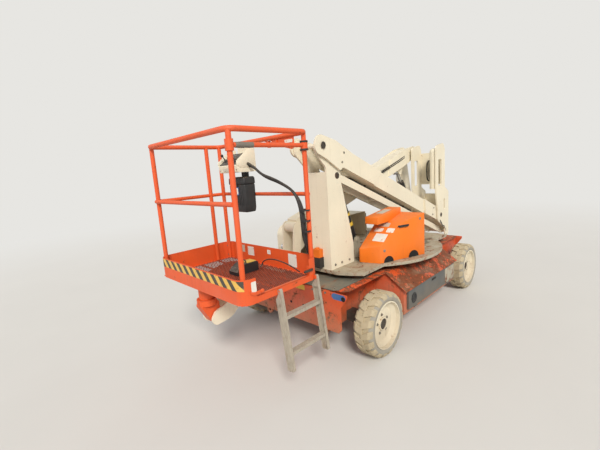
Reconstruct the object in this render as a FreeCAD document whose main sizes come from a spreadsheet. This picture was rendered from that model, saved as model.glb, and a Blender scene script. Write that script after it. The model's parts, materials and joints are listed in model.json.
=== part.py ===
"""Articulating boom lift: chassis, turntable, tower arm, upright, main boom, jib and platform.

All sizes are in millimetres. +X points forward to the platform, +Y to the machine's left, +Z up.
The pieces are drawn about the turntable's swing axis at floor level, and each one's Placement
then moves them so that the origin lies under the middle of the whole machine.
"""
import FreeCAD, Part
import math
import os
import re

V = FreeCAD.Vector

# Driving dimensions: alias, value, meaning
SIZES = [
    ("wheelbase", 2000, "between the front and the rear wheel centres"),
    ("overall_width", 1750, "over the outer faces of the tyres"),
    ("tyre_radius", 280, "solid tyre"),
    ("tyre_width", 178, "solid tyre"),
    ("tyre_shoulder", 22, "bevel of the tyre's shoulder"),
    ("rim_radius", 205, "outside of the rim barrel"),
    ("rim_gauge", 10, "thickness of the rim barrel and disc"),
    ("spindle_end", 8, "spindle beyond the rim's disc"),
    ("rim_dish", 62, "how far the disc lies in from the outer face"),
    ("hub_radius", 58, "collar round the hub of a wheel"),
    ("spindle_radius", 30, "wheel spindle"),
    ("running_gap", 0.3, "gap in a bore, bearing or seat"),
    ("side_gap", 6, "gap beside a moving plate"),
    ("chassis_bottom", 220, "underside of the chassis box"),
    ("deck_height", 600, "top of the deck plates"),
    ("deck_gauge", 6, "deck plates"),
    ("deck_inset", 25, "deck plates in from the tyres' outer faces"),
    ("deck_setback", 40, "deck plates behind an end panel's face"),
    ("apron_start", 700, "rear edge of the front deck plate from the swing axis"),
    ("apron_setback", 15, "front deck plate behind the end panel's face"),
    ("apron_side", 560, "front deck plate from the centre line"),
    ("deck_corner", 170, "round of the deck plates' corners"),
    ("end_overhang", 300, "end panels beyond the wheel centres"),
    ("panel_gauge", 8, "end panels"),
    ("arch_gap", 110, "between a tyre and the wide middle box"),
    ("waist_inset", 60, "wide middle box in from the tyres' outer faces"),
    ("steer_room", 217, "between a front tyre and the box beside it"),
    ("rear_room", 97, "between a rear tyre and the box beside it"),
    ("panel_room", 87, "end panels' lower part in from the tyres"),
    ("panel_shoulder", 480, "height where an end panel widens"),
    ("door_gauge", 25, "side doors of the chassis"),
    ("door_margin", 50, "wide middle box beyond a side door"),
    ("door_bottom", 250, "side doors of the chassis"),
    ("door_height", 320, "side doors of the chassis"),
    ("hinge_barrel", 10, "radius of the knuckles of doors and hoods"),
    ("hinge_pin", 6, "hinge pins of doors and hoods"),
    ("knuckle_length", 60, "knuckles of doors and hoods"),
    ("axle_depth", 96, "square section of both axle beams"),
    ("kingpin_inset", 175, "kingpins in from the tyres' outer faces"),
    ("kingpin_radius", 18, "kingpins"),
    ("knuckle_height", 126, "steering knuckles"),
    ("lug_bore", 30, "bore of the tie-down lugs"),
    ("lug_gauge", 20, "thickness of the tie-down lugs"),
    ("lug_offset", 380, "tie-down lugs from the centre line"),
    ("bearing_radius", 360, "swing bearing"),
    ("bearing_height", 50, "swing bearing"),
    ("table_gauge", 30, "turntable plate"),
    ("table_radius", 1120, "round ends of the turntable plate"),
    ("table_half_width", 610, "turntable plate from the centre line"),
    ("table_front", 1050, "turntable plate ahead of the swing axis"),
    ("table_rear", 960, "turntable plate behind the swing axis"),
    ("tower_y", 190, "middle of the tower arm, left of the centre line"),
    ("tower_width", 310, "over the cheeks of the tower arm"),
    ("cheek_gauge", 20, "cheek plates of the tower arm"),
    ("tower_depth", 170, "section of the tower arm"),
    ("tower_length", 2648, "tower arm between its pivots"),
    ("stow_slope", 21.14, "tower arm below level, as it stands"),
    ("tower_pivot_x", 1100, "tower arm's pivot on the turntable"),
    ("tower_pivot_z", 1820, "tower arm's pivot on the turntable"),
    ("link_drop_x", 210, "link pivot behind the tower arm's pivot"),
    ("link_drop_z", 270, "link pivot below the tower arm's pivot"),
    ("link_depth", 70, "section of the link bars"),
    ("link_bar", 28, "width of a link bar"),
    ("post_gauge", 18, "side plates of the tower support"),
    ("pin_radius", 22, "main pins"),
    ("upright_gauge", 20, "side plates of the upright"),
    ("boom_y", -110, "middle of the main boom"),
    ("boom_width", 160, "section of the main boom"),
    ("boom_depth", 200, "section of the main boom"),
    ("boom_wall", 8, "wall of the main boom"),
    ("boom_slope", 15.7, "main boom below level, as it stands"),
    ("boom_length", 2535, "main boom from its pivot to the tip pin"),
    ("base_length", 2150, "outer section of the main boom"),
    ("fly_width", 120, "section of the fly boom"),
    ("fly_depth", 150, "section of the fly boom"),
    ("fly_start", 500, "rear end of the fly boom from the pivot"),
    ("boom_pivot_x", -1340, "main boom's pivot on the upright"),
    ("boom_pivot_z", 1760, "main boom's pivot on the upright"),
    ("bracket_gauge", 15, "plates of the boom tip bracket"),
    ("jib_pivot_x", 1145, "jib's pivot on the tip bracket"),
    ("jib_pivot_z", 715, "jib's pivot on the tip bracket"),
    ("jib_width", 100, "section of the jib"),
    ("jib_depth", 80, "section of the jib"),
    ("rotator_x", 2100, "axis of the platform rotator"),
    ("rotator_pin_x", 2060, "pin of the rotator in the jib's fork"),
    ("rotator_pin_z", 500, "pin of the rotator in the jib's fork"),
    ("rotator_radius", 78, "flange of the platform rotator"),
    ("platform_rear", 1500, "platform's rear rail from the swing axis"),
    ("platform_front", 2185, "platform's front rail from the swing axis"),
    ("platform_left", 537, "platform's left rail"),
    ("platform_right", -637, "platform's right rail"),
    ("platform_low", 783, "underside of the platform"),
    ("toe_height", 173, "toe boards"),
    ("toe_gauge", 4, "toe boards"),
    ("floor_gauge", 12, "platform floor"),
    ("rail_radius", 19, "platform tubes"),
    ("rail_top", 1914, "top of the platform's top rail"),
    ("rail_middle", 1440, "height of the middle rails"),
    ("gate_drop", 114, "entry bar below the top rail, as it is raised"),
    ("ladder_width", 400, "over the ladder's stiles"),
    ("ladder_foot", 230, "height of the ladder's feet"),
    ("stile_depth", 62, "ladder's stiles"),
    ("rung_depth", 46, "ladder's rungs"),
    ("ladder_pin", 7, "hinge pins of the ladder"),
    ("tail_reach", 1640, "rear face of the upright behind the swing axis"),
]

doc = FreeCAD.newDocument("BoomLift")
sheet = doc.addObject("Spreadsheet::Sheet", "Sizes")


class Values:
    """The sheet's numbers, read back by their alias."""


s = Values()
for row, (alias, value, meaning) in enumerate(SIZES, start=1):
    sheet.set(f"A{row}", meaning)
    sheet.set(f"B{row}", str(value))
    sheet.setAlias(f"B{row}", alias)
doc.recompute()
for alias, _, _ in SIZES:
    setattr(s, alias, float(getattr(sheet, alias)))

WORDS = re.compile(r"\b(" + "|".join(alias for alias, _, _ in SIZES) + r")\b")
FACING = {
    "X": FreeCAD.Rotation(V(0, 1, 0), V(0, 0, 1), V(1, 0, 0)),
    "Y": FreeCAD.Rotation(V(1, 0, 0), 90),
    "Z": FreeCAD.Rotation(),
}
ROD_TURN = {
    "X": FreeCAD.Rotation(V(0, 1, 0), 90),
    "Y": FreeCAD.Rotation(V(1, 0, 0), -90),
    "Z": FreeCAD.Rotation(),
}


def bind(obj, prop, value):
    """Set a property to a number, or tie it to the sheet when the value is an expression."""
    if isinstance(value, str):
        obj.setExpression(prop, WORDS.sub(r"Sizes.\1", value))
        return
    holder = obj
    *path, last = prop.split(".")
    if path == ["Placement", "Base"]:
        base = V(obj.Placement.Base)
        setattr(base, last, value)
        obj.Placement = FreeCAD.Placement(base, obj.Placement.Rotation)
        return
    setattr(holder, last, value)


def block(x, y, z):
    """A box from three (low, high) pairs."""
    obj = doc.addObject("Part::Box", "Block")
    for prop, axis, (low, high) in (("Length", "x", x), ("Width", "y", y), ("Height", "z", z)):
        if isinstance(low, str) or isinstance(high, str):
            bind(obj, prop, f"({high}) - ({low})")
        else:
            bind(obj, prop, high - low)
        bind(obj, f"Placement.Base.{axis}", low)
    return obj


def rod(axis, radius, start, length, cone=None):
    """A cylinder, or a cone when its far radius is given, along X, Y or Z from a start point."""
    obj = doc.addObject("Part::Cylinder" if cone is None else "Part::Cone", "Rod")
    obj.Placement = FreeCAD.Placement(V(0, 0, 0), ROD_TURN[axis])
    if cone is None:
        bind(obj, "Radius", radius)
    else:
        bind(obj, "Radius1", radius)
        bind(obj, "Radius2", cone)
    bind(obj, "Height", length)
    for name, value in zip("xyz", start):
        bind(obj, f"Placement.Base.{name}", value)
    return obj


def slanted_rod(radius, start, end):
    """A round bar between two points."""
    obj = doc.addObject("Part::Cylinder", "Bar")
    along = V(*end) - V(*start)
    obj.Height = along.Length
    obj.Placement = FreeCAD.Placement(V(*start), FreeCAD.Rotation(V(0, 0, 1), along))
    bind(obj, "Radius", radius)
    return obj


def rounded(corners):
    """Edges of a closed outline from (u, v, corner radius)."""
    count = len(corners)
    ends = []
    for i, (u, v, radius) in enumerate(corners):
        here = V(u, v, 0)
        back = V(corners[i - 1][0], corners[i - 1][1], 0) - here
        ahead = V(corners[(i + 1) % count][0], corners[(i + 1) % count][1], 0) - here
        if radius <= 0:
            ends.append((here, None, here))
            continue
        half = back.getAngle(ahead) / 2
        reach = radius / math.tan(half)
        start = here + V(back).normalize() * reach
        stop = here + V(ahead).normalize() * reach
        inward = (V(back).normalize() + V(ahead).normalize()).normalize()
        centre = here + inward * (radius / math.sin(half))
        middle = centre - inward * radius
        ends.append((start, middle, stop))
    edges = []
    for i, (start, middle, stop) in enumerate(ends):
        if middle is not None:
            edges.append(Part.Arc(start, middle, stop))
        following = ends[(i + 1) % count][0]
        if stop.distanceToPoint(following) > 1e-6:
            edges.append(Part.LineSegment(stop, following))
    return edges


def belt(circles):
    """Edges of the belt around (u, v, radius) circles that are listed in order."""
    count = len(circles)
    area = sum(circles[i - 1][0] * circles[i][1] - circles[i][0] * circles[i - 1][1] for i in range(count))
    if area < 0:
        circles = circles[::-1]
    touches = []
    for i in range(count):
        u0, v0, r0 = circles[i]
        u1, v1, r1 = circles[(i + 1) % count]
        span = math.hypot(u1 - u0, v1 - v0)
        heading = math.atan2(v1 - v0, u1 - u0)
        normal = heading - math.acos((r0 - r1) / span)
        out = V(math.cos(normal), math.sin(normal), 0)
        touches.append((V(u0, v0, 0) + out * r0, V(u1, v1, 0) + out * r1, normal))
    edges = []
    for i in range(count):
        start, stop, normal = touches[i]
        if start.distanceToPoint(stop) > 1e-6:
            edges.append(Part.LineSegment(start, stop))
        u, v, radius = circles[(i + 1) % count]
        turn = (touches[(i + 1) % count][2] - normal) % (2 * math.pi)
        if 1e-6 < turn < 2 * math.pi - 1e-6:
            middle = V(u, v, 0) + V(math.cos(normal + turn / 2), math.sin(normal + turn / 2), 0) * radius
            edges.append(Part.Arc(stop, middle, touches[(i + 1) % count][0]))
    return edges


def plate(axis, edges, low, high):
    """A closed outline pushed out along X, Y or Z from low to high."""
    sketch = doc.addObject("Sketcher::SketchObject", "Outline")
    sketch.Placement = FreeCAD.Placement(V(0, 0, 0), FACING[axis])
    for edge in edges:
        sketch.addGeometry(edge)
    bind(sketch, f"Placement.Base.{axis.lower()}", high if axis == "Y" else low)
    obj = doc.addObject("Part::Extrusion", "Plate")
    obj.Base = sketch
    obj.DirMode = "Normal"
    obj.Solid = True
    if isinstance(low, str) or isinstance(high, str):
        bind(obj, "LengthFwd", f"({high}) - ({low})")
    else:
        obj.LengthFwd = high - low
    return obj


def spun(points, centre_x, centre_z):
    """A closed (radius, y) outline turned about the wheel axis at a centre."""
    sketch = doc.addObject("Sketcher::SketchObject", "Half")
    for edge in rounded(points):
        sketch.addGeometry(edge)
    obj = doc.addObject("Part::Revolution", "Spun")
    obj.Source = sketch
    obj.Axis = V(0, 1, 0)
    obj.Solid = True
    obj.Placement = FreeCAD.Placement(V(centre_x, 0, centre_z), FreeCAD.Rotation())
    return obj


def join(*pieces):
    obj = doc.addObject("Part::MultiFuse", "Joined")
    obj.Shapes = list(pieces)
    return obj


def cut(base, *tools):
    obj = doc.addObject("Part::Cut", "Cut")
    obj.Base = base
    obj.Tool = tools[0] if len(tools) == 1 else join(*tools)
    return obj


def shape(solid):
    """A piece whose form comes from Part's own functions."""
    obj = doc.addObject("Part::Feature", "Form")
    obj.Shape = solid
    return obj


NODES = []


def node(label, *pieces):
    """The finished sub-part: one labelled object, moved so that the origin is mid-machine."""
    if len(pieces) == 1:
        obj = doc.addObject("Part::Refine", "Node")
        obj.Source = pieces[0]
    else:
        obj = doc.addObject("Part::MultiFuse", "Node")
        obj.Shapes = list(pieces)
        obj.Refine = True
    obj.Label = label
    bind(obj, "Placement.Base.x", "(tail_reach - platform_front - rail_radius - toe_gauge) / 2")
    NODES.append(obj)
    return obj


def pair(build):
    """Make a piece on the left (+1) and on the right (-1)."""
    for side, word in ((1, "left"), (-1, "right")):
        build(side, word)


def across(side, near, far):
    """A (low, high) pair in Y from two distances out from the centre line."""
    return (near, far) if side > 0 else (-far, -near)


half_base = s.wheelbase / 2
half_width = s.overall_width / 2
wheel_in = half_width - s.tyre_width
deck_under = s.deck_height - s.deck_gauge
chassis_end = half_base + s.end_overhang
deck_end = chassis_end - s.deck_setback
deck_side = half_width - s.deck_inset
waist_end = half_base - s.tyre_radius - s.arch_gap
waist_side = half_width - s.waist_inset
kingpin_y = half_width - s.kingpin_inset


door_half = waist_end - s.door_margin
door_hinge_y = waist_side + s.hinge_barrel + s.running_gap
door_hinge_z = s.door_bottom - s.hinge_barrel


def hinge_places(length):
    """Middles of the two knuckles of a hinge, from its own middle."""
    return (-0.36 * length, 0.36 * length)


# Chassis
def end_panel(end):
    """Front or rear panel: wide above the wheels' reach, narrow between the wheels."""
    wide = deck_side - s.deck_corner
    narrow = wheel_in - s.panel_room
    low = s.chassis_bottom + 15
    corners = []
    for u, v, radius in ((wide, deck_under, 0), (wide, 555, 18), (narrow, s.panel_shoulder, 30),
                         (narrow, low, 40)):
        corners.append((u, v, radius))
    outline = corners + [(-u, v, radius) for u, v, radius in reversed(corners)]
    inner = chassis_end - s.panel_gauge
    x = (inner, chassis_end) if end > 0 else (-chassis_end, -inner)
    panel = plate("X", rounded(outline), *x)
    holes = [rod("X", 22, (x[0], side * (narrow + 30), 545), "panel_gauge") for side in (1, -1)]
    holes += [rod("X", 12, (x[0], side * 170, 450), "panel_gauge") for side in (1, -1)]
    return cut(panel, *holes)


def tie_lug(end, side):
    """Tie-down lug below an end of the chassis, with its bore along the machine."""
    low = end * (chassis_end - 55) - s.lug_gauge / 2
    y = side * s.lug_offset
    z = s.chassis_bottom - 22
    edges = rounded([(y - 45, z + 42, 0), (y - 45, z - 40, 30), (y + 45, z - 40, 30), (y + 45, z + 42, 0)])
    lug = plate("X", edges, low, low + s.lug_gauge)
    return cut(lug, rod("X", "lug_bore / 2", (low, y, z), "lug_gauge"))


end_heights = ("chassis_bottom + 20", "deck_height - deck_gauge")
waist = block((-waist_end, waist_end), (-waist_side, waist_side), ("chassis_bottom", "deck_height - deck_gauge"))
nose_side = wheel_in - s.steer_room
nose = block((waist_end, chassis_end - s.panel_gauge), (-nose_side, nose_side), end_heights)
tail_side = wheel_in - s.rear_room
tail = block((s.panel_gauge - chassis_end, -waist_end), (-tail_side, tail_side), end_heights)
deck = plate("Z", rounded([(u * deck_end, v * deck_side, s.deck_corner)
                           for u, v in ((1, 1), (-1, 1), (-1, -1), (1, -1))]),
             "deck_height - deck_gauge", "deck_height")
axle_slots = [block((f"{end} * wheelbase / 2 - axle_depth / 2 - 4", f"{end} * wheelbase / 2 + axle_depth / 2 + 4"),
                    (-deck_side, deck_side), ("chassis_bottom", "tyre_radius + axle_depth / 2 + running_gap"))
              for end in (1, -1)]
lugs = [tie_lug(end, side) for end in (1, -1) for side in (1, -1)]


def door_pins(side):
    """Pins that carry a side door's knuckles, each between two lugs on the chassis."""
    pieces = []
    for middle in hinge_places(2 * door_half):
        reach = s.knuckle_length / 2 + 12
        pieces.append(rod("X", "hinge_pin", (middle - reach, side * door_hinge_y, door_hinge_z), 2 * reach))
        for end in (1, -1):
            x = middle + end * (reach - 5)
            lug_x = (x - 5, x + 5)
            pieces.append(block(lug_x, across(side, waist_side - 5, door_hinge_y + 4), (door_hinge_z - 9, door_hinge_z + 6)))
    return pieces


node("chassis_frame", cut(join(waist, nose, tail), *axle_slots), end_panel(1), end_panel(-1), *lugs, *door_pins(1), *door_pins(-1))

apron_end = chassis_end - s.apron_setback
front_plate = plate("Z", rounded([(apron_end, s.apron_side, 40), (s.apron_start, s.apron_side, 0),
                                  (s.apron_start, -s.apron_side, 0), (apron_end, -s.apron_side, 40)]),
                    "deck_height", "deck_height + deck_gauge")
bearing = cut(rod("Z", "bearing_radius", (0, 0, "deck_height"), "bearing_height - running_gap"),
              rod("Z", "bearing_radius - 80", (0, 0, "deck_height"), "bearing_height"))
bearing_gap = rod("Z", "bearing_radius + 5", (0, 0, "deck_height"), "bearing_height")
node("deck_plates", deck, cut(front_plate, bearing_gap))
node("swing_bearing", bearing)


def side_door(side, word):
    """Drop-down door with a hand pull and two knuckles along its lower edge."""
    skin = plate("Y", rounded([(u * door_half, s.door_bottom + v * s.door_height, 18)
                               for u, v in ((-1, 0), (1, 0), (1, 1), (-1, 1))]),
                 *across(side, waist_side + s.running_gap, waist_side + s.door_gauge))
    pull_y = across(side, waist_side + s.door_gauge - 12, waist_side + s.door_gauge)
    pull_z = s.door_bottom + s.door_height - 60
    pull = block((-60, 60), pull_y, (pull_z - 15, pull_z + 15))
    knuckles = []
    for x in hinge_places(2 * door_half):
        barrel = rod("X", "hinge_barrel", (x - s.knuckle_length / 2, side * door_hinge_y, door_hinge_z), "knuckle_length")
        leaf = block((x - s.knuckle_length / 2, x + s.knuckle_length / 2),
                     across(side, door_hinge_y - 3, waist_side + s.door_gauge), (door_hinge_z, s.door_bottom + 10))
        knuckles += [barrel, leaf]
    bores = [rod("X", "hinge_pin + running_gap", (x - s.knuckle_length, side * door_hinge_y, door_hinge_z),
                 "2 * knuckle_length") for x in hinge_places(2 * door_half)]
    node(f"side_door_{word}", cut(join(skin, *knuckles), pull, *bores))


pair(side_door)

beam_y = kingpin_y - 60


def yoke(side):
    """Fork at an end of the front axle, with bored lugs above and below the knuckle."""
    y = across(side, beam_y - 22, kingpin_y + 34)
    half = s.knuckle_height / 2 + 2
    upper = block((half_base - 42, half_base + 42), y, (s.tyre_radius + half, s.tyre_radius + half + 20))
    lower = block((half_base - 42, half_base + 42), y, (s.tyre_radius - half - 20, s.tyre_radius - half))
    web = block((half_base - 42, half_base + 42), across(side, beam_y - 22, beam_y),
                (s.tyre_radius - half, s.tyre_radius + half))
    return join(upper, lower, web)


bores = [rod("Z", "kingpin_radius + running_gap", (half_base, side * kingpin_y, 100), 400)
         for side in (1, -1)]
front_beam = block(("wheelbase / 2 - axle_depth / 2", "wheelbase / 2 + axle_depth / 2"),
                   (-beam_y + 22, beam_y - 22), ("tyre_radius - axle_depth / 2", "tyre_radius + axle_depth / 2"))
node("front_axle", cut(join(front_beam, yoke(1), yoke(-1)), *bores))


def steering_knuckle(side, word):
    body = block((half_base - 36, half_base + 36), across(side, kingpin_y - 36, kingpin_y + 32),
                 ("tyre_radius - knuckle_height / 2", "tyre_radius + knuckle_height / 2"))
    pin = rod("Z", "kingpin_radius", (half_base, side * kingpin_y, s.tyre_radius - 92), 184)
    low, high = across(side, kingpin_y + 32, half_width - s.rim_dish + s.spindle_end)
    spindle = rod("Y", "spindle_radius", (half_base, low, "tyre_radius"), high - low)
    node(f"steering_knuckle_{word}", body, pin, spindle)


pair(steering_knuckle)

rear_beam = block(("-wheelbase / 2 - axle_depth / 2", "-wheelbase / 2 + axle_depth / 2"),
                  (-wheel_in + 20, wheel_in - 20), ("tyre_radius - axle_depth / 2", "tyre_radius + axle_depth / 2"))
rear_ends = []
for side in (1, -1):
    low, high = across(side, wheel_in - 60, half_width - s.rim_dish - 40)
    rear_ends.append(rod("Y", 110, (-half_base, low, "tyre_radius"), high - low))
    low, high = across(side, half_width - s.rim_dish - 40, half_width - s.rim_dish + s.spindle_end)
    rear_ends.append(rod("Y", "spindle_radius", (-half_base, low, "tyre_radius"), high - low))
node("rear_axle", rear_beam, *rear_ends)


def wheel(side, word, end, place):
    """Dished steel rim and its solid tyre."""
    x = end * half_base
    outer = half_width
    disc = outer - s.rim_dish
    bore = s.spindle_radius + s.running_gap
    inner = s.rim_radius - s.rim_gauge
    profile = [(bore, disc - s.rim_gauge, 0), (inner - 18, disc - s.rim_gauge, 0), (inner, disc - 34, 0),
               (inner, wheel_in, 0), (s.rim_radius, wheel_in, 0), (s.rim_radius, outer - 3, 0),
               (inner, outer - 3, 0), (inner - 6, disc + 30, 0), (150, disc, 0), (s.hub_radius, disc, 0),
               (s.hub_radius, disc + 16, 0), (s.hub_radius - 10, disc + 16, 0), (s.hub_radius - 10, disc, 0),
               (bore, disc, 0)]
    rim = spun([(r, side * y, c) for r, y, c in profile], x, s.tyre_radius)
    node(f"rim_{place}_{word}", rim)
    seat = s.rim_radius + s.running_gap
    flank = s.tyre_radius - s.tyre_shoulder
    tyre = spun([(r, side * y, 0) for r, y in (
        (seat, wheel_in), (flank, wheel_in), (s.tyre_radius, wheel_in + s.tyre_shoulder),
        (s.tyre_radius, outer - s.tyre_shoulder), (flank, outer), (seat, outer))], x, s.tyre_radius)
    node(f"tyre_{place}_{word}", tyre)


for end, place in ((1, "front"), (-1, "rear")):
    for side, word in ((1, "left"), (-1, "right")):
        wheel(side, word, end, place)

# Turntable
table_low = s.deck_height + s.bearing_height
table_top = table_low + s.table_gauge
disc = rod("Z", "table_radius", (0, 0, table_low), "table_gauge")
slab = block(("-table_rear", "table_front"), ("-table_half_width", "table_half_width"),
             (table_low, table_top))
table_plate = doc.addObject("Part::Common", "Common")
table_plate.Base = disc
table_plate.Tool = slab
cylinder_foot_x = 500
cylinder_foot_z = 860
foot_lugs = []
for side in (1, -1):
    y0 = s.tower_y + (36 if side > 0 else -36 - s.bracket_gauge)
    lug = plate("Y", rounded([(cylinder_foot_x + 75, table_top, 0), (cylinder_foot_x + 34, cylinder_foot_z + 34, 30),
                              (cylinder_foot_x - 34, cylinder_foot_z + 34, 30), (cylinder_foot_x - 75, table_top, 0)]),
                y0, y0 + s.bracket_gauge)
    foot_lugs.append(lug)
foot_pin = rod("Y", "pin_radius", (cylinder_foot_x, s.tower_y - 60, cylinder_foot_z), 120)
hood_in = 384
hood_hinges = {"left": (-450, hood_in, 1100), "right": (-500, -310, 1010)}
hood_posts = [rod("Z", "hinge_pin", (x, y, table_top), top - table_top - 30) for x, y, top in hood_hinges.values()]
node("turntable_plate", table_plate, *foot_lugs, foot_pin, *hood_posts)

link_x = s.tower_pivot_x - s.link_drop_x
link_z = s.tower_pivot_z - s.link_drop_z
cheek_out = s.tower_width / 2
post_out = cheek_out - s.cheek_gauge - s.side_gap
post_in = post_out - s.post_gauge


def post_side(side):
    edges = rounded([(s.tower_pivot_x - 60, table_top, 0), (s.tower_pivot_x - 60, s.tower_pivot_z - 190, 60),
                     (s.tower_pivot_x + 72, s.tower_pivot_z - 60, 40), (s.tower_pivot_x + 72, s.tower_pivot_z + 72, 68),
                     (s.tower_pivot_x - 72, s.tower_pivot_z + 72, 68), (link_x - 50, link_z + 30, 40),
                     (link_x - 50, link_z - 40, 40), (680, 880, 60), (680, table_top, 0)])
    y = (s.tower_y + post_in, s.tower_y + post_out) if side > 0 else (s.tower_y - post_out, s.tower_y - post_in)
    return plate("Y", edges, *y)


front_face = block((s.tower_pivot_x - 76, s.tower_pivot_x - 60), (s.tower_y - post_in, s.tower_y + post_in),
                   (table_top, s.tower_pivot_z - 230))
mid_web = block((700, s.tower_pivot_x - 76), (s.tower_y - post_in, s.tower_y + post_in),
                (table_top, table_top + 12))
pivot_pin = rod("Y", "pin_radius", (s.tower_pivot_x, s.tower_y - cheek_out - 8, s.tower_pivot_z), 2 * cheek_out + 16)
link_pin = rod("Y", "pin_radius", (link_x, s.tower_y - post_out, link_z), 2 * post_out)
node("tower_support", post_side(1), post_side(-1), front_face, mid_web, pivot_pin, link_pin)

motor_x = s.tower_pivot_x - 60
motor_body = block((motor_x + s.running_gap, motor_x + 62), (130, 230), (table_top + 20, table_top + 120))
motor_cap = block((motor_x + s.running_gap, motor_x + 56), (136, 224), (table_top + 120, table_top + 196))
motor_top = rod("Z", 22, (motor_x + 30, 180, table_top + 196), 12)
node("swing_motor", motor_body, motor_cap, motor_top)


def hood_outline(inset, drop):
    """Side outline of a hood: tall behind, chamfered down to a low front."""
    return rounded([(800 - inset, table_top, 0), (800 - inset, 860 - drop, 10), (360 - inset / 2, 1100 - inset, 12),
                    (-450 + inset, 1100 - inset, 14), (-450 + inset, table_top, 0)])


hood_out = s.table_half_width + 12
hood_wall = 5


def hung(word, shell):
    """A hood with two knuckles round its hinge post."""
    x, y, top = hood_hinges[word]
    knuckles = [rod("Z", "hinge_barrel", (x, y, z), "knuckle_length") for z in (table_top + 60, top - 130)]
    return cut(join(shell, *knuckles), rod("Z", "hinge_pin + running_gap", (x, y, table_top - 10), top - table_top))



def hood_left():
    outer = plate("Y", hood_outline(0, 0), hood_in, hood_out)
    inner = plate("Y", hood_outline(hood_wall, hood_wall), hood_in - 10, hood_out - hood_wall)
    lid = block((-440, 700), (hood_in, hood_in + 150), (1100, 1165))
    lid_inner = block((-440 + hood_wall, 700 - hood_wall), (hood_in - 10, hood_in + 150 - hood_wall),
                      (1090, 1165 - hood_wall))
    floor = block((-450, 800), (hood_in, hood_out), (table_top - 20, table_top + s.running_gap))
    vents = [rod("Y", 62, (x, hood_out - 30, table_top + 2), 60) for x in (-190, 330)]
    node("hood_left", hung("left", cut(join(outer, lid), inner, lid_inner, floor, *vents)))


def hood_right():
    top = 1010
    def outline(inset):
        return rounded([(860 - inset, table_top, 0), (860 - inset, top - inset, 120), (-500 + inset, top - inset, 30),
                        (-500 + inset, table_top, 0)])
    outer = plate("Y", outline(0), -hood_out, -310)
    inner = plate("Y", outline(hood_wall), -hood_out + hood_wall, -300)
    floor = block((-500, 860), (-hood_out, -310), (table_top - 20, table_top + s.running_gap))
    vents = [rod("Y", 62, (x, -hood_out - 30, table_top + 2), 60) for x in (-190, 330)]
    node("hood_right", hung("right", cut(outer, inner, floor, *vents)))


hood_left()
hood_right()

# Tower arm and its link
arm_along = V(-math.cos(math.radians(s.stow_slope)), 0, -math.sin(math.radians(s.stow_slope)))
arm_up = V(-arm_along.z, 0, arm_along.x) * -1
arm_pivot = V(s.tower_pivot_x, 0, s.tower_pivot_z)
arm_end = arm_pivot + arm_along * s.tower_length
link_start = V(link_x, 0, link_z)
link_end = link_start + arm_along * s.tower_length


def on_arm(distance, height):
    """(x, z) of a point along the tower arm from its pivot and above its middle line."""
    point = arm_pivot + arm_along * distance + arm_up * height
    return point.x, point.z


def arm_plate(outline, low, high):
    return plate("Y", rounded([(*on_arm(a, b), radius) for a, b, radius in outline]), low, high)


half_depth = s.tower_depth / 2
eye_at = 372
tube_from = 130
tube = arm_plate([(tube_from, half_depth, 6), (s.tower_length - 110, half_depth, 6), (s.tower_length - 110, -half_depth, 6),
                  (tube_from, -half_depth, 6)], s.tower_y - cheek_out + s.cheek_gauge, s.tower_y + cheek_out - s.cheek_gauge)
pocket = arm_plate([(tube_from - 30, half_depth - 14, 0), (eye_at + 60, half_depth - 14, 30),
                    (eye_at + 60, -half_depth - 20, 0), (tube_from - 30, -half_depth - 20, 0)],
                   s.tower_y - cheek_out, s.tower_y + cheek_out)
head_outline = [(-92, 74, 70), (160, half_depth + 22, 60), (430, half_depth, 30), (980, half_depth, 4),
                (900, -half_depth, 4), (330, -half_depth, 30), (300, -half_depth - 42, 26), (236, -half_depth - 30, 26),
                (90, -92, 60), (-92, -86, 70)]
tail_outline = [(s.tower_length - 520, half_depth, 4), (s.tower_length + 80, half_depth, 70),
                (s.tower_length + 80, -half_depth, 70), (s.tower_length - 440, -half_depth, 4)]
arm_pieces = [cut(tube, pocket)]
for y in ((s.tower_y + cheek_out - s.cheek_gauge, s.tower_y + cheek_out),
          (s.tower_y - cheek_out, s.tower_y - cheek_out + s.cheek_gauge)):
    arm_pieces.append(arm_plate(head_outline, *y))
    arm_pieces.append(arm_plate(tail_outline, *y))
rod_eye_x, rod_eye_z = on_arm(eye_at, -half_depth - 62)
ears = []
for y0 in (s.tower_y + 38, s.tower_y - 38 - s.bracket_gauge):
    ears.append(plate("Y", belt([(*on_arm(eye_at, -half_depth - 62), 34), (*on_arm(eye_at + 84, -half_depth + 20), 20),
                                 (*on_arm(eye_at + 190, -half_depth + 20), 20)]), y0, y0 + s.bracket_gauge))
tail_tube = rod("Y", "pin_radius + 22", (arm_end.x, s.tower_y - cheek_out, arm_end.z), 2 * cheek_out)
bore_head = rod("Y", "pin_radius + running_gap", (arm_pivot.x, -100, arm_pivot.z), 600)
bore_tail = rod("Y", "pin_radius + running_gap", (arm_end.x, -100, arm_end.z), 600)
node("tower_arm", cut(join(*arm_pieces, *ears, tail_tube), bore_head, bore_tail))


def on_link(distance, height):
    point = link_start + arm_along * distance + arm_up * height
    return point.x, point.z


link_half = s.link_depth / 2
link_out = post_in - s.side_gap
bars = []
for y0 in (s.tower_y + link_out - s.link_bar, s.tower_y - link_out):
    bars.append(plate("Y", belt([(*on_link(0, 0), link_half), (*on_link(s.tower_length, 0), link_half)]),
                      y0, y0 + s.link_bar))
stays = [rod("Y", 20, (on_link(a, 0)[0], s.tower_y - link_out, on_link(a, 0)[1]), 2 * link_out)
         for a in (900, 1700, 2300)]
bore_link_a = rod("Y", "pin_radius + running_gap", (link_start.x, -100, link_start.z), 600)
bore_link_b = rod("Y", "pin_radius + running_gap", (link_end.x, -100, link_end.z), 600)
node("tower_link", cut(join(*bars, *stays), bore_link_a, bore_link_b))


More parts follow.
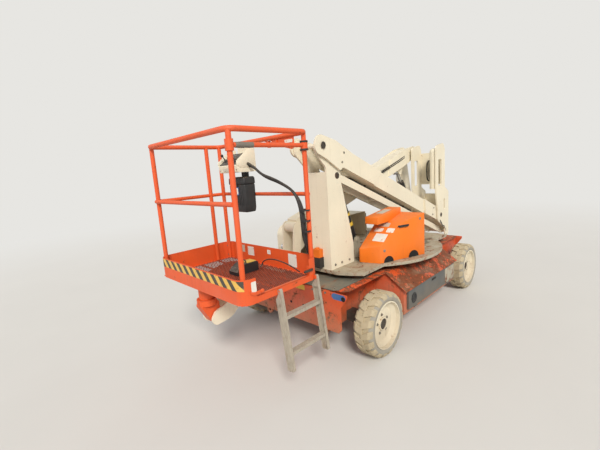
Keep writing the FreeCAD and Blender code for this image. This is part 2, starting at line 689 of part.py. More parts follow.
# Cylinders
def cylinder(name, foot, eye, y, barrel_radius, rod_radius, barrel_length, eye_radius, eye_width, closing):
    """Barrel and rod between two pins, each a separate sub-part."""
    start = V(foot[0], y, foot[1])
    stop = V(eye[0], y, eye[1])
    along = (stop - start).normalize()
    total = start.distanceToPoint(stop)
    hollow_start = eye_radius + 30
    body = slanted_rod(barrel_radius, start + along * (eye_radius + 20), start + along * barrel_length)
    neck = slanted_rod(eye_width / 2 - 3, start + along * (eye_radius - 8), start + along * (eye_radius + 24))
    eye_a = rod("Y", eye_radius, (foot[0], y - eye_width / 2, foot[1]), eye_width)
    hole_a = rod("Y", s.pin_radius + s.running_gap, (foot[0], y - eye_width, foot[1]), 2 * eye_width)
    bore = slanted_rod(rod_radius + s.running_gap, start + along * hollow_start, start + along * (barrel_length + 20))
    node(f"{name}_barrel", cut(join(body, neck, eye_a), hole_a, bore))
    rod_start = start + along * (hollow_start + 10 + closing)
    shaft = slanted_rod(rod_radius, rod_start, start + along * (total - eye_radius + 6))
    eye_b = rod("Y", eye_radius, (eye[0], y - eye_width / 2, eye[1]), eye_width)
    node(f"{name}_rod", shaft, eye_b)


cylinder("tower_cylinder", (cylinder_foot_x, cylinder_foot_z), (rod_eye_x, rod_eye_z), s.tower_y, 44, 24, 620, 34, 60, 0)

# Upright
left_out = s.tower_y + cheek_out + s.side_gap + s.upright_gauge
left_y = (left_out - s.upright_gauge, left_out)
middle_y = (s.tower_y - cheek_out - s.side_gap - s.upright_gauge, s.tower_y - cheek_out - s.side_gap)
boom_half = s.boom_width / 2
right_y = (s.boom_y - boom_half - 15 - s.side_gap - s.upright_gauge, s.boom_y - boom_half - 15 - s.side_gap)
rear_x = -s.tail_reach
pivot_x = s.boom_pivot_x
pivot_z = s.boom_pivot_z


def upright_outline(top):
    """Side plates at the tower arm: clear of the deck as the turntable swings."""
    return rounded([(link_end.x + 60, link_end.z - 64, 40), (link_end.x + 60, s.deck_height + 52, 20),
                    (arm_end.x + 105, arm_end.z - 76, 50), (arm_end.x + 105, arm_end.z + 60, 50),
                    (arm_end.x + 160, arm_end.z + 330, 60), (arm_end.x + 160, top - 20, 60),
                    (pivot_x - 110, top + 20, 50), (rear_x + 140, top - 60, 40), (rear_x + 140, waist_z + 70, 30),
                    (rear_x, waist_z, 40), (rear_x, link_end.z - 64, 50)])


waist_z = pivot_z - 580
upright_top = pivot_z + 80
slot = plate("Y", rounded([(arm_end.x + u, pivot_z + v, 24) for u, v in ((90, -480), (90, -120), (-20, -120), (-20, -480))]),
             right_y[0] - 100, left_y[1] + 100)
low_slot = plate("Y", rounded([(rear_x + u, waist_z + v, 16) for u, v in ((180, -250), (180, -100), (130, -100), (130, -250))]),
                 right_y[0] - 100, left_y[1] + 100)
left_side = plate("Y", upright_outline(upright_top), *left_y)
middle_side = plate("Y", upright_outline(upright_top), *middle_y)
right_side = plate("Y", rounded([(pivot_x + u, pivot_z + v, radius) for u, v, radius in (
    (-90, -930, 40), (110, -760, 60), (130, -160, 60), (110, 60, 60), (-110, 100, 50), (-170, -60, 40))]
    + [(rear_x, waist_z, 40), (rear_x, waist_z - 350, 40)]), *right_y)
rear_foot = waist_z - 340
rear_plate = block((rear_x, rear_x + 10), (right_y[0], left_y[1]), (rear_foot, waist_z - 40))
low_rear = block((rear_x, rear_x + 10), (middle_y[0], left_y[1]), (link_end.z, rear_foot))
channel = block((rear_x + 140, rear_x + 152), (middle_y[0], left_y[1]), (waist_z + 110, pivot_z - 20))
tube_front = rod("Z", 52, (arm_end.x + 100, left_y[1] - 62, waist_z + 60), 500)
dome = doc.addObject("Part::Sphere", "Dome")
dome.Radius = 52
dome.Placement = FreeCAD.Placement(V(arm_end.x + 100, left_y[1] - 62, waist_z + 560), FreeCAD.Rotation())
boom_pin = rod("Y", "pin_radius", (pivot_x, right_y[0], pivot_z), middle_y[1] - right_y[0])
arm_end_pin = rod("Y", "pin_radius", (arm_end.x, middle_y[0], arm_end.z), left_y[1] - middle_y[0])
link_end_pin = rod("Y", "pin_radius", (link_end.x, middle_y[0], link_end.z), left_y[1] - middle_y[0])
lift_foot = (pivot_x - 90, pivot_z - 860)
lift_pin = rod("Y", "pin_radius", (lift_foot[0], right_y[0], lift_foot[1]), middle_y[1] - right_y[0])
node("upright", cut(join(left_side, middle_side), slot, low_slot), right_side, rear_plate, low_rear, channel,
     tube_front, dome, boom_pin, arm_end_pin, link_end_pin, lift_pin)

# Main boom
boom_along = V(math.cos(math.radians(s.boom_slope)), 0, -math.sin(math.radians(s.boom_slope)))
boom_up = V(-boom_along.z, 0, boom_along.x)
boom_pivot = V(pivot_x, 0, pivot_z)


def on_boom(distance, height):
    point = boom_pivot + boom_along * distance + boom_up * height
    return point.x, point.z


def boom_tube(start, stop, depth, low, high):
    corners = [(*on_boom(start, -depth / 2), 10), (*on_boom(stop, -depth / 2), 10), (*on_boom(stop, depth / 2), 10),
               (*on_boom(start, depth / 2), 10)]
    return plate("Y", rounded(corners), low, high)


low_y = s.boom_y - boom_half
high_y = s.boom_y + boom_half
outer = boom_tube(150, s.base_length, s.boom_depth, low_y, high_y)
hollow = boom_tube(160, s.base_length - 60, s.boom_depth - 2 * s.boom_wall, low_y + s.boom_wall, high_y - s.boom_wall)
mouth = boom_tube(s.base_length - 80, s.base_length + 40, s.fly_depth + 2 * s.running_gap,
                  s.boom_y - s.fly_width / 2 - s.running_gap, s.boom_y + s.fly_width / 2 + s.running_gap)
collar = boom_tube(s.base_length - 70, s.base_length, s.boom_depth + 16, low_y - 8, high_y + 8)
knuckle_outline = [(*on_boom(-70, -20), 50), (*on_boom(-10, -78), 50), (*on_boom(360, -s.boom_depth / 2), 10),
                   (*on_boom(760, -s.boom_depth / 2), 4), (*on_boom(640, s.boom_depth / 2), 4),
                   (*on_boom(220, s.boom_depth / 2 + 20), 60), (*on_boom(-70, 84), 60)]
knuckle = [plate("Y", rounded(knuckle_outline), high_y, high_y + 12),
           plate("Y", rounded(knuckle_outline), low_y - 12, low_y)]
boss = rod("Y", "pin_radius + 24", (pivot_x, low_y - 15, pivot_z), s.boom_width + 30)
lift_eye = (pivot_x + 320, pivot_z - 260)
boom_ears = []
for y0 in (s.boom_y + 38, s.boom_y - 38 - s.bracket_gauge):
    boom_ears.append(plate("Y", belt([(lift_eye[0], lift_eye[1], 34), (*on_boom(460, -70), 20), (*on_boom(260, -70), 20)]),
                           y0, y0 + s.bracket_gauge))
pivot_bore = rod("Y", "pin_radius + running_gap", (pivot_x, -400, pivot_z), 700)
node("main_boom", cut(join(cut(join(outer, collar), hollow, mouth), *knuckle, boss, *boom_ears), pivot_bore))
cylinder("lift_cylinder", lift_foot, lift_eye, s.boom_y, 44, 24, 560, 34, 60, 0)

tip_x, tip_z = on_boom(s.boom_length, 0)
fly_y = (s.boom_y - s.fly_width / 2, s.boom_y + s.fly_width / 2)
fly_tube = boom_tube(s.fly_start, s.boom_length - 20, s.fly_depth, *fly_y)
fly_hollow = boom_tube(s.fly_start - 10, s.boom_length - 160, s.fly_depth - 14, fly_y[0] + 7, fly_y[1] - 7)
nose_boss = rod("Y", 52, (tip_x, fly_y[0], tip_z), s.fly_width)
nose_bore = rod("Y", "pin_radius + running_gap", (tip_x, fly_y[0] - 10, tip_z), s.fly_width + 20)
node("fly_boom", cut(join(cut(fly_tube, fly_hollow), nose_boss), nose_bore))

# Boom tip bracket and jib
jx, jz = s.jib_pivot_x, s.jib_pivot_z
bracket_in = s.fly_width / 2 + s.side_gap
bracket_out = bracket_in + s.bracket_gauge
jib_foot = (815, 900)
left_plate = plate("Y", belt([(jx, jz, 44), (tip_x, tip_z, 56)]), s.boom_y + bracket_in, s.boom_y + bracket_out)
right_plate = plate("Y", belt([(jx, jz, 44), (tip_x, tip_z, 56), (jib_foot[0], jib_foot[1], 34)]),
                    s.boom_y - bracket_out, s.boom_y - bracket_in)
tip_pin = rod("Y", "pin_radius", (tip_x, s.boom_y - bracket_out, tip_z), 2 * bracket_out)
foot_stub = rod("Y", "pin_radius", (jib_foot[0], s.boom_y - bracket_out - 66, jib_foot[1]), 66)
jib_bore = rod("Y", "pin_radius + running_gap", (jx, s.boom_y - 200, jz), 400)
node("tip_bracket", cut(join(left_plate, right_plate, tip_pin, foot_stub), jib_bore))

jib_half = s.jib_width / 2
knee_x = 1620
knee_z = 700
rx, rz = s.rotator_pin_x, s.rotator_pin_z
jib_box = plate("Y", rounded([(jx, jz - s.jib_depth / 2, 0), (knee_x, knee_z - s.jib_depth / 2, 0),
                              (knee_x, knee_z + s.jib_depth / 2, 0), (jx, jz + s.jib_depth / 2, 0)]),
                s.boom_y - jib_half, s.boom_y + jib_half)
jib_root = rod("Y", "jib_depth / 2", (jx, s.boom_y - jib_half, jz), s.jib_width)
fork_out = 74
fork_in = 56
fork = []
for y in ((s.boom_y + fork_in, s.boom_y + fork_out), (s.boom_y - fork_out, s.boom_y - fork_in)):
    fork.append(plate("Y", rounded([(1500, 662, 10), (1700, 655, 150), (1930, 462, 120), (rx + 30, rz - 60, 44),
                                    (rx + 56, rz, 44), (rx + 15, rz + 56, 30), (1980, 590, 60), (1770, 738, 120),
                                    (1500, 742, 20)]), *y))
fork_web = block((1500, knee_x), (s.boom_y - fork_out, s.boom_y + fork_out), (672, 728))
jib_pin = rod("Y", "pin_radius", (jx, s.boom_y - bracket_out - 30, jz), 2 * bracket_out + 38)
horn_y = (s.boom_y - bracket_out - 30, s.boom_y - bracket_out - 8)
horn_eye = (1110, 862)
horn = plate("Y", belt([(jx, jz, 40), (horn_eye[0], horn_eye[1], 30)]), *horn_y)
fork_pin = rod("Y", "pin_radius", (rx, s.boom_y - fork_out, rz), 2 * fork_out)
node("jib", jib_box, jib_root, *fork, fork_web, jib_pin, horn, fork_pin)
cylinder("jib_cylinder", jib_foot, horn_eye, horn_y[0] - 22, 25, 13, 190, 28, 30, 66)

# Rotator under the platform
rot = s.rotator_x
lug = plate("Y", belt([(rx, rz, 46), (rot + 40, rz + 110, 30), (rot - 50, rz + 112, 30)]),
            s.boom_y - 48, s.boom_y + 48)
flange = rod("Z", "rotator_radius", (rot, s.boom_y, rz + 118), 34)
ring = cut(rod("Z", "rotator_radius", (rot, s.boom_y, rz + 152), 12),
           rod("Z", "rotator_radius - 16", (rot, s.boom_y, rz + 152), 12))
fork_bore = rod("Y", "pin_radius + running_gap", (rx, s.boom_y - 60, rz), 120)
node("rotator_housing", cut(join(lug, flange, ring), fork_bore))

support_top = s.platform_low - s.running_gap
support_low = support_top - 12
shaft = rod("Z", "rotator_radius - 20", (rot, s.boom_y, rz + 152 + s.running_gap), support_low - rz - 152 - s.running_gap)
spread = plate("Z", rounded([(s.platform_front - 20, 60, 20), (s.platform_rear + 60, 330, 60),
                             (s.platform_rear + 60, -560, 60), (s.platform_front - 20, -280, 20)]),
               support_low, support_top)
node("platform_support", shaft, spread)

# Platform
left, right = s.platform_left, s.platform_right
rear, front = s.platform_rear, s.platform_front
bend = 60
rail_line = s.rail_top - s.rail_radius


def loop_tube(z):
    """Closed rail: straight tubes joined by a quarter ring at each of the platform's corners."""
    runs = [rod("X", "rail_radius", (rear + bend, y, z), front - rear - 2 * bend) for y in (left, right)]
    runs += [rod("Y", "rail_radius", (x, right + bend, z), left - right - 2 * bend) for x in (rear, front)]
    for x, y, turn in ((front - bend, left - bend, 0), (rear + bend, left - bend, 90),
                       (rear + bend, right + bend, 180), (front - bend, right + bend, 270)):
        ring = doc.addObject("Part::Torus", "Bend")
        ring.Radius1 = bend
        ring.Angle3 = 90
        ring.Placement = FreeCAD.Placement(V(x, y, z), FreeCAD.Rotation(V(0, 0, 1), turn))
        bind(ring, "Radius2", "rail_radius")
        runs.append(ring)
    return join(*runs)


top_rail = loop_tube(rail_line)
post_foot = s.platform_low + s.floor_gauge + s.running_gap
posts = []
inset = bend * (1 - math.sqrt(0.5))
for x, y in ((front - inset, left - inset), (rear + inset, left - inset), (rear + inset, right + inset),
             (front - inset, right + inset)):
    posts.append(rod("Z", "rail_radius - 1", (x, y, post_foot), rail_line - post_foot - 2))
posts.append(rod("Z", "rail_radius - 1", (rear + 150, right, post_foot), rail_line - post_foot - 2))
mid_rails = [rod("Y", "rail_radius - 3", (front, right + inset, "rail_middle"), left - right - 2 * inset),
             rod("Y", "rail_radius - 3", (rear, right + inset, "rail_middle"), left - right - 2 * inset),
             rod("X", "rail_radius - 3", (rear + inset, right, "rail_middle"), front - rear - 2 * inset)]
node("platform_rails", top_rail, *posts, *mid_rails)


def ring_outline(grow):
    return rounded([(front + grow, left + grow, bend + grow), (rear - grow, left + grow, bend + grow),
                    (rear - grow, right - grow, bend + grow), (front + grow, right - grow, bend + grow)])


skin = s.rail_radius
board_out = plate("Z", ring_outline(skin + s.toe_gauge), "platform_low", "platform_low + toe_height")
board_in = plate("Z", ring_outline(skin + s.running_gap), "platform_low - 5", "platform_low + toe_height + 5")
entry = block((rear + 90, front - 90), (left, left + 60), ("platform_low + 42", "platform_low + toe_height + 5"))

floor = plate("Z", ring_outline(skin - s.running_gap), "platform_low", "platform_low + floor_gauge")
node("platform_floor", floor)

gate_y = left - inset
gate_z = s.rail_top - s.gate_drop
gate_bar = rod("X", "rail_radius - 3", (rear + inset + s.rail_radius + 6, gate_y, gate_z),
               front - rear - 2 * inset - 2 * s.rail_radius - 12)
sleeves = []
for x in (rear + inset, front - inset):
    sleeves.append(cut(rod("Z", "rail_radius + 8", (x, gate_y, gate_z - 35), 70),
                       rod("Z", "rail_radius - 1 + running_gap", (x, gate_y, gate_z - 40), 80)))
node("entry_bar", gate_bar, *sleeves)

console_y = (-330, -60)
console_back = rear + s.rail_radius + 4
console = plate("Y", rounded([(console_back, 1640, 10), (console_back + 190, 1640, 10), (console_back + 200, 1700, 10),
                              (console_back + 60, 1800, 14), (console_back, 1800, 10)]), *console_y)
arm_a = block((rear - 12, console_back + 40), (-250, -140), (1800, rail_line - s.rail_radius - s.running_gap))
node("platform_console", console, arm_a)
storage = plate("Y", rounded([(console_back, 1290, 12), (console_back + 120, 1290, 12), (console_back + 120, 1600, 12),
                              (console_back, 1600, 12)]), -320, -90)
hanger = block((console_back, console_back + 30), (-240, -170), (1560, 1640 - s.running_gap))
node("document_box", storage, hanger)
pedal_top = s.platform_low + s.floor_gauge + s.running_gap
pedal = plate("Y", rounded([(1640, pedal_top, 0), (1860, pedal_top, 0), (1860, pedal_top + 30, 10),
                            (1790, pedal_top + 82, 14), (1640, pedal_top + 82, 14)]), -120, 0)
node("foot_switch", pedal)

# Ladder
skin_y = left + skin + s.toe_gauge
ladder_mid = rear + 220
stile_half = 14
hinge_y = skin_y + s.running_gap + stile_half
hinge_z = s.platform_low + 26
lean = 75
stile_gauge = 24
reach = math.hypot(lean, hinge_z - s.ladder_foot)
fall = V(lean / reach, -(hinge_z - s.ladder_foot) / reach, 0)
inward = V(fall.y, -fall.x, 0)


def on_stile(distance, depth):
    """(y, z) of a point down the ladder from its hinge and in towards the machine."""
    return hinge_y + fall.x * distance + inward.x * depth, hinge_z + fall.y * distance + inward.y * depth


def stile(side):
    """Channel with its web outside and a narrow lug at the hinge."""
    out = ladder_mid + side * s.ladder_width / 2
    web = (min(out, out - side * stile_gauge), max(out, out - side * stile_gauge))
    body = rounded([(*on_stile(24, -stile_half), 6), (*on_stile(reach, -stile_half), 8),
                    (*on_stile(reach, s.stile_depth - stile_half), 8), (*on_stile(64, s.stile_depth - stile_half), 14),
                    (*on_stile(24, stile_half), 6)])
    ear = belt([(hinge_y, hinge_z, stile_half), (*on_stile(60, 0), stile_half)])
    hollow = rounded([(*on_stile(80, 6 - stile_half), 0), (*on_stile(reach - 6, 6 - stile_half), 0),
                      (*on_stile(reach - 6, s.stile_depth - stile_half - 6), 0),
                      (*on_stile(80, s.stile_depth - stile_half - 6), 0)])
    inner = (web[0] - 1, web[1] - 8) if side > 0 else (web[0] + 8, web[1] + 1)
    return cut(join(plate("X", body, *web), plate("X", ear, *web)), plate("X", hollow, *inner))


stiles = [stile(1), stile(-1)]
pins = []
for side in (1, -1):
    x = ladder_mid + side * (s.ladder_width - stile_gauge) / 2
    low, high = across(-side, stile_gauge / 2 + s.running_gap, stile_gauge / 2 + s.running_gap + 8)
    lug = block((x + low, x + high), (skin_y - 3, hinge_y + 12), (hinge_z - 14, hinge_z + 14))
    low, high = across(-side, -stile_gauge / 2, stile_gauge / 2 + 4)
    pins += [lug, rod("X", "ladder_pin", (x + low, hinge_y, hinge_z), high - low)]
rungs = []
for height in (340, 600):
    middle = on_stile((hinge_z - height) / -fall.y, s.stile_depth / 2 - stile_half)[0]
    rungs.append(block((ladder_mid - s.ladder_width / 2 + 4, ladder_mid + s.ladder_width / 2 - 4),
                       (middle - s.rung_depth / 2, middle + s.rung_depth / 2), (height, height + 25)))
hinge_bore = rod("X", "ladder_pin + running_gap", (ladder_mid - s.ladder_width, hinge_y, hinge_z), 2 * s.ladder_width)
node("ladder", cut(join(*stiles, *rungs), hinge_bore))
node("toe_boards", cut(board_out, board_in, entry), *pins)

doc.recompute()
for obj in doc.Objects:
    if any(word in obj.State for word in ("Invalid", "Error")):
        raise RuntimeError(f"{obj.Name} {obj.Label} did not build: {obj.State}")
os.makedirs("parts", exist_ok=True)
for obj in NODES:
    if obj.Shape.isNull() or not obj.Shape.isValid() or not obj.Shape.Solids:
        raise RuntimeError(f"{obj.Label} has no valid solid")
for obj in NODES:
    obj.Shape.exportStep(f"parts/{obj.Label}.step")
print(len(NODES), "sub-parts")
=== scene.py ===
"""Looks of the articulating boom lift: finishes, treads, mesh floor, controls, hoses, bolts and studio."""
import json
import math

import bmesh
import bpy
from mathutils import Color, Matrix, Vector

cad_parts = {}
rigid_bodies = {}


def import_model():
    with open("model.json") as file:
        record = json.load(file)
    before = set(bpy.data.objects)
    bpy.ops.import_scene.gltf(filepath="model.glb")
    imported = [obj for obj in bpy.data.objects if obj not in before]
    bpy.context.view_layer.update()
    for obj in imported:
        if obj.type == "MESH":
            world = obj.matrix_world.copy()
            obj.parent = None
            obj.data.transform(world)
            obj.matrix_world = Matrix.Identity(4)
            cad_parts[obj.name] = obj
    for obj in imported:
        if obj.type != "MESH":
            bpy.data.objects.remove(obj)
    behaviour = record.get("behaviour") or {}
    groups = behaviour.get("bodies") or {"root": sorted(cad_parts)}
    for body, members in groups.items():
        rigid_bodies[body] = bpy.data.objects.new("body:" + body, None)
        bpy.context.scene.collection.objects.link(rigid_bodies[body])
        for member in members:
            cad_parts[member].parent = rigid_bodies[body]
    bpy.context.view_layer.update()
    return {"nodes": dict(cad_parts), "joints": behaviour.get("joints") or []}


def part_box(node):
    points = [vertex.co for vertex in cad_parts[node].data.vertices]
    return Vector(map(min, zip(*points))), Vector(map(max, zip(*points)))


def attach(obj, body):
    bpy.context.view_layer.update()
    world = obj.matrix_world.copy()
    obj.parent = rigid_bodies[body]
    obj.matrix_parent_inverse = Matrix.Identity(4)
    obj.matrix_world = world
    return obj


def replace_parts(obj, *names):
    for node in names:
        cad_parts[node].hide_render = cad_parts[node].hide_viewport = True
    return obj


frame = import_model()

bl_info = {
    "name": "Boom Lift Looks",
    "version": (1, 0, 0),
    "blender": (4, 5, 0),
    "location": "3D View > Sidebar > Boom Lift",
    "description": "Finishes and small pieces around the packed boom lift",
    "category": "Object",
}

JOINTS = {joint["name"]: joint for joint in frame["joints"]}
SIDES = ((1, "left"), (-1, "right"))
ENDS = ((1, "front"), (-1, "rear"))
BEVEL_ANGLE = math.radians(40)
FINISH = {}


def pivot(joint):
    """Where a joint turns, in metres."""
    return Vector(JOINTS[joint]["pos_m"])


SWING = pivot("swing")


def spot(x, y, z):
    """A place in millimetres from the swing axis at floor level."""
    return Vector((SWING.x + x / 1000, SWING.y + y / 1000, z / 1000))


def across(u, v, w):
    """Outline seen from the machine's side, pushed across it."""
    return spot(u, w, v)


def facing(u, v, w):
    """Outline seen from the machine's front, pushed along it."""
    return spot(w, u, v)


def flat(u, v, w):
    """Outline seen from above, pushed upward."""
    return spot(u, v, w)


class Beam:
    """Places on an arm: millimetres from its pivot, across the machine, and above its middle line."""

    def __init__(self, start, stop):
        self.start = Vector((start.x, 0, start.z))
        self.along = Vector((stop.x - start.x, 0, stop.z - start.z))
        self.length = self.along.length * 1000
        self.along.normalize()
        self.up = Vector((-self.along.z, 0, self.along.x))
        if self.up.z < 0:
            self.up.negate()

    def at(self, distance, side, height):
        return self.start + (self.along * distance + self.up * height + Vector((0, side, 0))) / 1000

    def side_view(self, u, v, w):
        """Outline seen from the side, pushed across the arm."""
        return self.at(u, w, v)


TOWER = Beam(pivot("tower_lift"), pivot("upright_level"))
BOOM = Beam(pivot("main_lift"), pivot("tip_level"))
JIB = Beam(pivot("jib_lift"), pivot("platform_level"))
TOWER_Y = pivot("tower_lift").y * 1000
BOOM_Y = pivot("main_lift").y * 1000


class Form:
    """Collects the closed shells of one piece."""

    def __init__(self):
        self.mesh = bmesh.new()

    def loft(self, outlines):
        """Closed outlines of places joined one to the next, with both ends capped."""
        rings = [[self.mesh.verts.new(place) for place in outline] for outline in outlines]
        for ring in (rings[0], rings[-1]):
            self.mesh.faces.new(ring)
        for near, far in zip(rings, rings[1:]):
            for i in range(len(near)):
                self.mesh.faces.new((near[i - 1], near[i], far[i], far[i - 1]))
        return self

    def prism(self, place, outline, low, high):
        """A closed outline of (u, v) pushed from low to high."""
        return self.loft([[place(u, v, w) for u, v in outline] for w in (low, high)])

    def block(self, place, u, v, w):
        """A box from three (low, high) pairs in a placement's own directions."""
        return self.prism(place, [(u[0], v[0]), (u[1], v[0]), (u[1], v[1]), (u[0], v[1])], *w)

    def turned(self, start, toward, profile, steps=24):
        """A closed (radius, distance) profile turned about the line from start, in millimetres."""
        turn = Vector(toward).normalized().to_track_quat("Z", "Y").to_matrix()
        rings = []
        for radius, distance in profile:
            if radius == 0:
                rings.append([self.mesh.verts.new(start + turn @ Vector((0, 0, distance / 1000)))])
                continue
            ring = []
            for k in range(steps):
                angle = 2 * math.pi * k / steps
                point = Vector((radius * math.cos(angle), radius * math.sin(angle), distance)) / 1000
                ring.append(self.mesh.verts.new(start + turn @ point))
            rings.append(ring)
        pairs = list(zip(rings, rings[1:]))
        if profile[0][0] and profile[-1][0]:
            pairs.append((rings[-1], rings[0]))
        for near, far in pairs:
            for k in range(steps):
                after = k + 1
                corners = [near[k % len(near)], near[after % len(near)],
                           far[after % len(far)], far[k % len(far)]]
                corners = [v for i, v in enumerate(corners) if v not in corners[:i]]
                if len(corners) > 2:
                    self.mesh.faces.new(corners)
        return self

    def rod(self, start, stop, radius, steps=16):
        """A round bar between two places."""
        length = (stop - start).length * 1000
        return self.turned(start, stop - start, [(0, 0), (radius, 0), (radius, length), (0, length)], steps)

    def knob(self, start, toward, radius, height, steps=20):
        """A turned button with a rounded top."""
        flatness = 0.45
        crown = [(radius * math.cos(a), height - radius * flatness * (1 - math.sin(a)))
                 for a in (0, 0.5, 1.0, 1.35)]
        return self.turned(start, toward, [(0, 0), (radius, 0), *crown, (0, height)], steps)

    def shape(self, name, bevel=0.0, segments=2):
        """The form as a plain object, its edges rounded by bevel in millimetres."""
        bmesh.ops.recalc_face_normals(self.mesh, faces=self.mesh.faces)
        data = bpy.data.meshes.new(name)
        self.mesh.to_mesh(data)
        self.mesh.free()
        piece = linked(name, data)
        if bevel:
            rounding = piece.modifiers.new("Rounding", "BEVEL")
            rounding.width = bevel / 1000
            rounding.segments = segments
            rounding.limit_method = "ANGLE"
            rounding.angle_limit = BEVEL_ANGLE
            settle(piece)
        return piece

    def finish(self, name, body, slot, look, bevel=0.0, smooth=35, segments=2):
        """The form as a piece that rides on a body, in one of the looks of FINISH."""
        piece = self.shape(name, bevel, segments)
        piece.data.materials.append(FINISH[look])
        return seat(piece, body, smooth)


def linked(name, data):
    """A new object in the scene."""
    made = bpy.data.objects.new(name, data)
    bpy.context.scene.collection.objects.link(made)
    return made


def seat(piece, body, smooth):
    """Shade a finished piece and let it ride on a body."""
    piece.data.shade_smooth()
    piece.data.set_sharp_from_angle(angle=math.radians(smooth))
    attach(piece, body)
    return piece


def evaluated_mesh(holder):
    """A new plain mesh of an object as its modifiers or its curve settings leave it."""
    bpy.context.view_layer.update()
    evaluated = holder.evaluated_get(bpy.context.evaluated_depsgraph_get())
    return bpy.data.meshes.new_from_object(evaluated)


def settle(piece):
    """Turn a piece and its modifiers into one plain mesh."""
    data = evaluated_mesh(piece)
    piece.modifiers.clear()
    piece.data = data


class Nodes:
    """Adds nodes to a node tree and joins values to their inputs."""

    def __init__(self, tree):
        self.tree = tree

    def add(self, kind, values=None, **settings):
        """A new node: values go to its inputs, settings to its own properties."""
        node = self.tree.nodes.new(kind)
        for key, value in settings.items():
            setattr(node, key, value)
        for key, value in (values or {}).items():
            self.join(value, node.inputs[key])
        return node

    def join(self, value, socket):
        """Link another node's output to an input, or write a plain value there."""
        if isinstance(value, bpy.types.NodeSocket):
            self.tree.links.new(value, socket)
        else:
            socket.default_value = value

    def math(self, operation, first, second=0.0):
        return self.add("ShaderNodeMath", {0: first, 1: second}, operation=operation).outputs[0]

    def plus(self, first, second):
        return self.math("ADD", first, second)

    def minus(self, first, second):
        return self.math("SUBTRACT", first, second)

    def times(self, first, second):
        return self.math("MULTIPLY", first, second)


# Geometry node trees for what repeats
class Tree(Nodes):
    """A geometry node tree with named inputs that ends in Realize Instances and Set Material."""

    def __init__(self, name, sockets):
        super().__init__(bpy.data.node_groups.new(name, "GeometryNodeTree"))
        face = self.tree.interface
        face.new_socket("Geometry", in_out="INPUT", socket_type="NodeSocketGeometry")
        self.ids = {}
        for label, kind in list(sockets) + [("Finish", "NodeSocketMaterial")]:
            self.ids[label] = face.new_socket(label, in_out="INPUT", socket_type=kind).identifier
        face.new_socket("Geometry", in_out="OUTPUT", socket_type="NodeSocketGeometry")
        self.input = self.add("NodeGroupInput").outputs

    def copies(self, part, **inputs):
        """Instances of a part; inputs are those of Instance on Points."""
        placed = self.add("GeometryNodeInstanceOnPoints", {"Instance": part, **inputs})
        return placed.outputs[0]

    def moved(self, geometry, **inputs):
        """Geometry through a Transform node with the given inputs."""
        return self.add("GeometryNodeTransform", {"Geometry": geometry, **inputs}).outputs[0]

    def close(self, geometry):
        """End the tree with real geometry in its finish."""
        real = self.add("GeometryNodeRealizeInstances", {"Geometry": geometry}).outputs[0]
        done = self.add("GeometryNodeSetMaterial", {"Geometry": real, "Material": self.input["Finish"]})
        self.join(done.outputs[0], self.add("NodeGroupOutput").inputs[0])
        return self

    def grow(self, name, body, slot, look, values, smooth=30, points=None):
        """Run the tree on points, or on nothing, and keep the result as a plain piece."""
        piece = linked(name, points or bpy.data.meshes.new(name))
        modifier = piece.modifiers.new(self.tree.name, "NODES")
        modifier.node_group = self.tree
        for label, value in {**values, "Finish": FINISH[look]}.items():
            modifier[self.ids[label]] = value
        settle(piece)
        return seat(piece, body, smooth)


def ring_tree():
    """Copies of a block turned about the Y axis through a centre."""
    tree = Tree("Ring of blocks", [("Block", "NodeSocketObject"), ("Count", "NodeSocketInt"),
                                   ("Phase", "NodeSocketFloat"), ("Centre", "NodeSocketVector")])
    points = tree.add("GeometryNodePoints", {"Count": tree.input["Count"], "Position": tree.input["Centre"]})
    source = tree.add("GeometryNodeObjectInfo", {"Object": tree.input["Block"]}).outputs["Geometry"]
    index = tree.add("GeometryNodeInputIndex").outputs[0]
    share = tree.math("DIVIDE", tree.plus(index, tree.input["Phase"]), tree.input["Count"])
    spin = tree.add("ShaderNodeCombineXYZ", {"Y": tree.times(share, 2 * math.pi)}).outputs[0]
    return tree.close(tree.copies(source, Points=points.outputs[0], Rotation=spin))


def row_tree():
    """Copies of a block in a straight row."""
    tree = Tree("Row of blocks", [("Block", "NodeSocketObject"), ("Count", "NodeSocketInt"),
                                  ("Step", "NodeSocketVector")])
    line = tree.add("GeometryNodeMeshLine", {"Count": tree.input["Count"], "Offset": tree.input["Step"]},
                    mode="OFFSET")
    source = tree.add("GeometryNodeObjectInfo", {"Object": tree.input["Block"]}).outputs["Geometry"]
    return tree.close(tree.copies(source, Points=line.outputs[0]))


def fastener_tree():
    """Hexagon heads on washers at the points of a mesh, each turned and sized by its attributes."""
    tree = Tree("Hexagon heads", [])
    parts = tree.add("GeometryNodeJoinGeometry")
    washer, head, stud = (14, 1.35, 0.22, 0.06), (6, 1.0, 0.75, 0.5), (10, 0.5, 0.3, 0.95)
    for corners, radius, depth, height in (washer, head, stud):
        part = tree.add("GeometryNodeMeshCylinder", {"Vertices": corners, "Radius": radius, "Depth": depth})
        tree.join(tree.moved(part.outputs[0], Translation=(0, 0, height)), parts.inputs[0])
    aim = tree.add("GeometryNodeInputNamedAttribute", {"Name": "aim"}, data_type="FLOAT_VECTOR")
    size = tree.add("GeometryNodeInputNamedAttribute", {"Name": "size"}, data_type="FLOAT")
    turn = tree.add("FunctionNodeAlignRotationToVector", {"Vector": aim.outputs["Attribute"]}, axis="Z")
    return tree.close(tree.copies(parts.outputs[0], Points=tree.input["Geometry"], Rotation=turn.outputs[0],
                                  Scale=size.outputs["Attribute"]))


